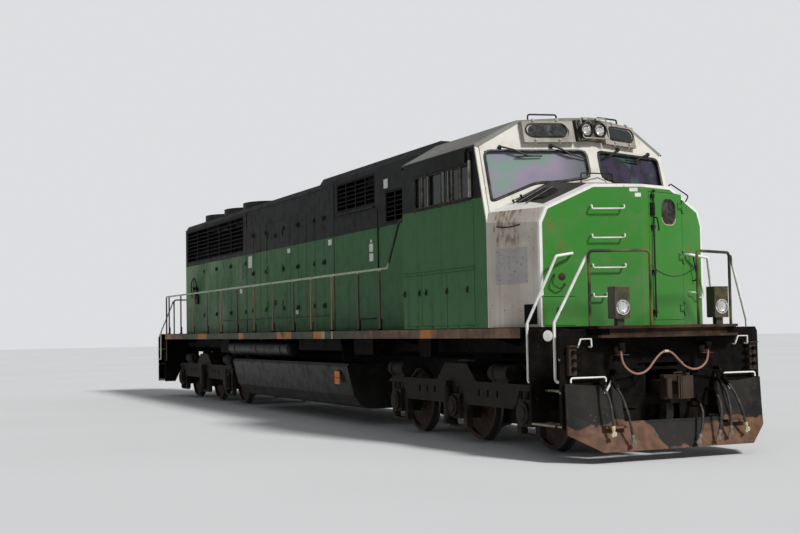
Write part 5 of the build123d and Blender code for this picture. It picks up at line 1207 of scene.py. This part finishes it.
def build_pilot_details():
    """Sockets, brackets, levers and the plough's hangers on the front end plates."""
    rusty, dark, pale, hangers, clip, discs = (Piece() for _ in range(6))
    face = 10.420
    behind = (10.366, 10.3815)
    z = 1.385
    for y in (-0.665, 0.640):
        rusty.lathe((face - 0.002, y, z), (1, 0, 0), ((0.085, 0), (0.085, 0.030), (0.060, 0.050)), 8)
        rusty.block((face, face + 0.090), (y - 0.09, y + 0.09), (z - 0.075, z - 0.062))
    for sign in (-1, 1):
        for piece in (rusty, dark, pale, hangers, discs):
            piece.sign = sign
        rusty.block((face - 0.002, face + 0.070), (1.335, 1.445), (1.080, 1.440))
        rusty.block((face - 0.002, face + 0.110), (1.320, 1.455), (1.432, 1.447))
        for z in (1.16, 1.26, 1.36):
            dark.tube([(face + 0.02, 1.39, z), (face + 0.12, 1.39, z)], 0.026, 12)
            dark.tube([(face + 0.06, 1.39, z), (face + 0.06, 1.27, z - 0.02)], 0.017, 10)
        dark.tube(bent([(face + 0.03, 0.33, 1.130), (face + 0.10, 0.45, 1.120), (face + 0.11, 0.80, 1.075),
                        (face + 0.11, 0.955, 0.860)], 0.04), 0.012, 10)
        pale.tube([(face + 0.11, 0.86, 1.000), (face + 0.11, 0.965, 0.845)], 0.015, 10)
        for y in (0.45, 0.80):
            dark.block((face - 0.002, face + 0.12), (y - 0.012, y + 0.012), (1.06, 1.14))
        hangers.block(behind, (0.27, 0.72), (0.420, 0.800))
        hangers.block(behind, (0.27, 0.42), (0.790, 1.190))
        discs.lathe((9.698, 1.262, 1.566), (1, 0, 0), ((0.072, 0), (0.072, 0.006), (0.062, 0.010)), 24)
    rusty.done("pilot_sockets", "coupler", bevel=0.004)
    dark.done("cut_levers", "frame", bevel=0.002)
    pale.done("cut_lever_handles", "white", bevel=0)
    hangers.done("plough_hangers", "frame", bevel=0)
    clip.lathe((CABLE_X, -0.155, 1.352), (0, 1, 0), ((0.0185, 0), (0.0185, 0.060)), 16)
    clip.done("cable_clip", "metal", bevel=0.001)
    discs.done("step_well_reflectors", "white", bevel=0.001)


def build_chain():
    """Chain of open links between the inner posts of the front rails."""
    links = Piece()
    ahead = Vector((1, 0, 0))
    a, b, sag, count = Vector((10.705, -0.345, 2.42)), Vector((10.705, 0.345, 2.42)), 0.13, 26
    points = [a.lerp(b, t) - Vector((0, 0, sag * 4 * t * (1 - t))) for t in (k / count for k in range(count + 1))]
    for k, (start, end) in enumerate(zip(points, points[1:])):
        along = (end - start).normalized()
        side = ahead if k % 2 else along.cross(ahead).normalized()
        middle, half = (start + end) / 2, (end - start).length / 2 + 0.004
        links.tube([middle + along * (half * math.cos(t)) + side * (0.009 * math.sin(t)) for t in turns(12)],
                   0.0028, 6, closed=True)
    for point in (a, b):
        links.lathe(point + Vector((-0.012, 0, 0.004)), ahead, ((0.012, 0), (0.012, 0.024)), 10)
    links.done("end_chain", "black", bevel=0)


# Cab interior

def cushion(name, low, high, puff):
    """A crowned pad: a rounded block pulled in between its corners."""
    mesh = bmesh.new()
    bmesh.ops.create_cube(mesh, size=1.0)
    bmesh.ops.subdivide_edges(mesh, edges=mesh.edges[:], cuts=7, use_grid_fill=True)
    low, high = Vector(low), Vector(high)
    centre, size = (low + high) / 2, high - low
    for vert in mesh.verts:
        u = vert.co * 2
        for i in range(3):
            j, k = (i + 1) % 3, (i + 2) % 3
            u[i] *= 0.86 + puff * (1 - u[j] ** 2) * (1 - u[k] ** 2)
        vert.co = Vector([centre[i] + u[i] * size[i] / 2 for i in range(3)])
    data = bpy.data.meshes.new(name)
    mesh.to_mesh(data)
    mesh.free()
    data.polygons.foreach_set("use_smooth", [True] * len(data.polygons))
    pad = linked(name, data, "cloth")
    smooth = pad.modifiers.new("smooth", "SUBSURF")
    smooth.levels = smooth.render_levels = 1
    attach(pad, "body")


def build_seats():
    floor, puff = 2.178, 0.14
    stand = ((0.200, 0), (0.200, 0.022), (0.170, 0.030), (0.060, 0.045), (0.060, 0.30), (0.085, 0.32), (0.085, 0.385))
    stands = Piece()
    for y, side in zip((-0.93, 0.93), SIDES):
        stands.lathe((7.50, y, floor), (0, 0, 1), stand)
        stands.block((7.30, 7.74), (y - 0.20, y + 0.20), (floor + 0.385, floor + 0.402))
        stands.block((7.225, 7.245), (y - 0.16, y + 0.16), (floor + 0.40, floor + 0.98))
        cushion(f"seat_cushion_{side}", (7.285, y - 0.235, floor + 0.402), (7.755, y + 0.235, floor + 0.500), puff)
        cushion(f"seat_back_{side}", (7.245, y - 0.225, floor + 0.500), (7.320, y + 0.225, floor + 1.075), puff)
    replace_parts(stands.done("seat_stands", "black"), "cab_seats")


def build_coupler_trim():
    """Ribs on the knuckle's face."""
    ribs = Piece()
    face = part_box("coupler_front")[1][0]
    for k in range(4):
        y = -0.075 + 0.032 * k
        ribs.block((face - 0.018, face - 0.006), (y - 0.009, y + 0.009), (0.765, 1.030))
    ribs.done("knuckle_ribs", "coupler", body="coupler_front", bevel=0.004)


place_light()
place_camera()
build_stage()
dress_nodes()
build_cords()
build_nose_front()
build_nose_door()
build_nose_top()
build_nose_side()
build_windscreens()
build_boards()
build_lamps()
build_cab_sides()
build_hood_sides()
build_sill()
build_tank_trim()
build_brake_grids()
build_pilot_details()
build_chain()
build_seats()
build_coupler_trim()
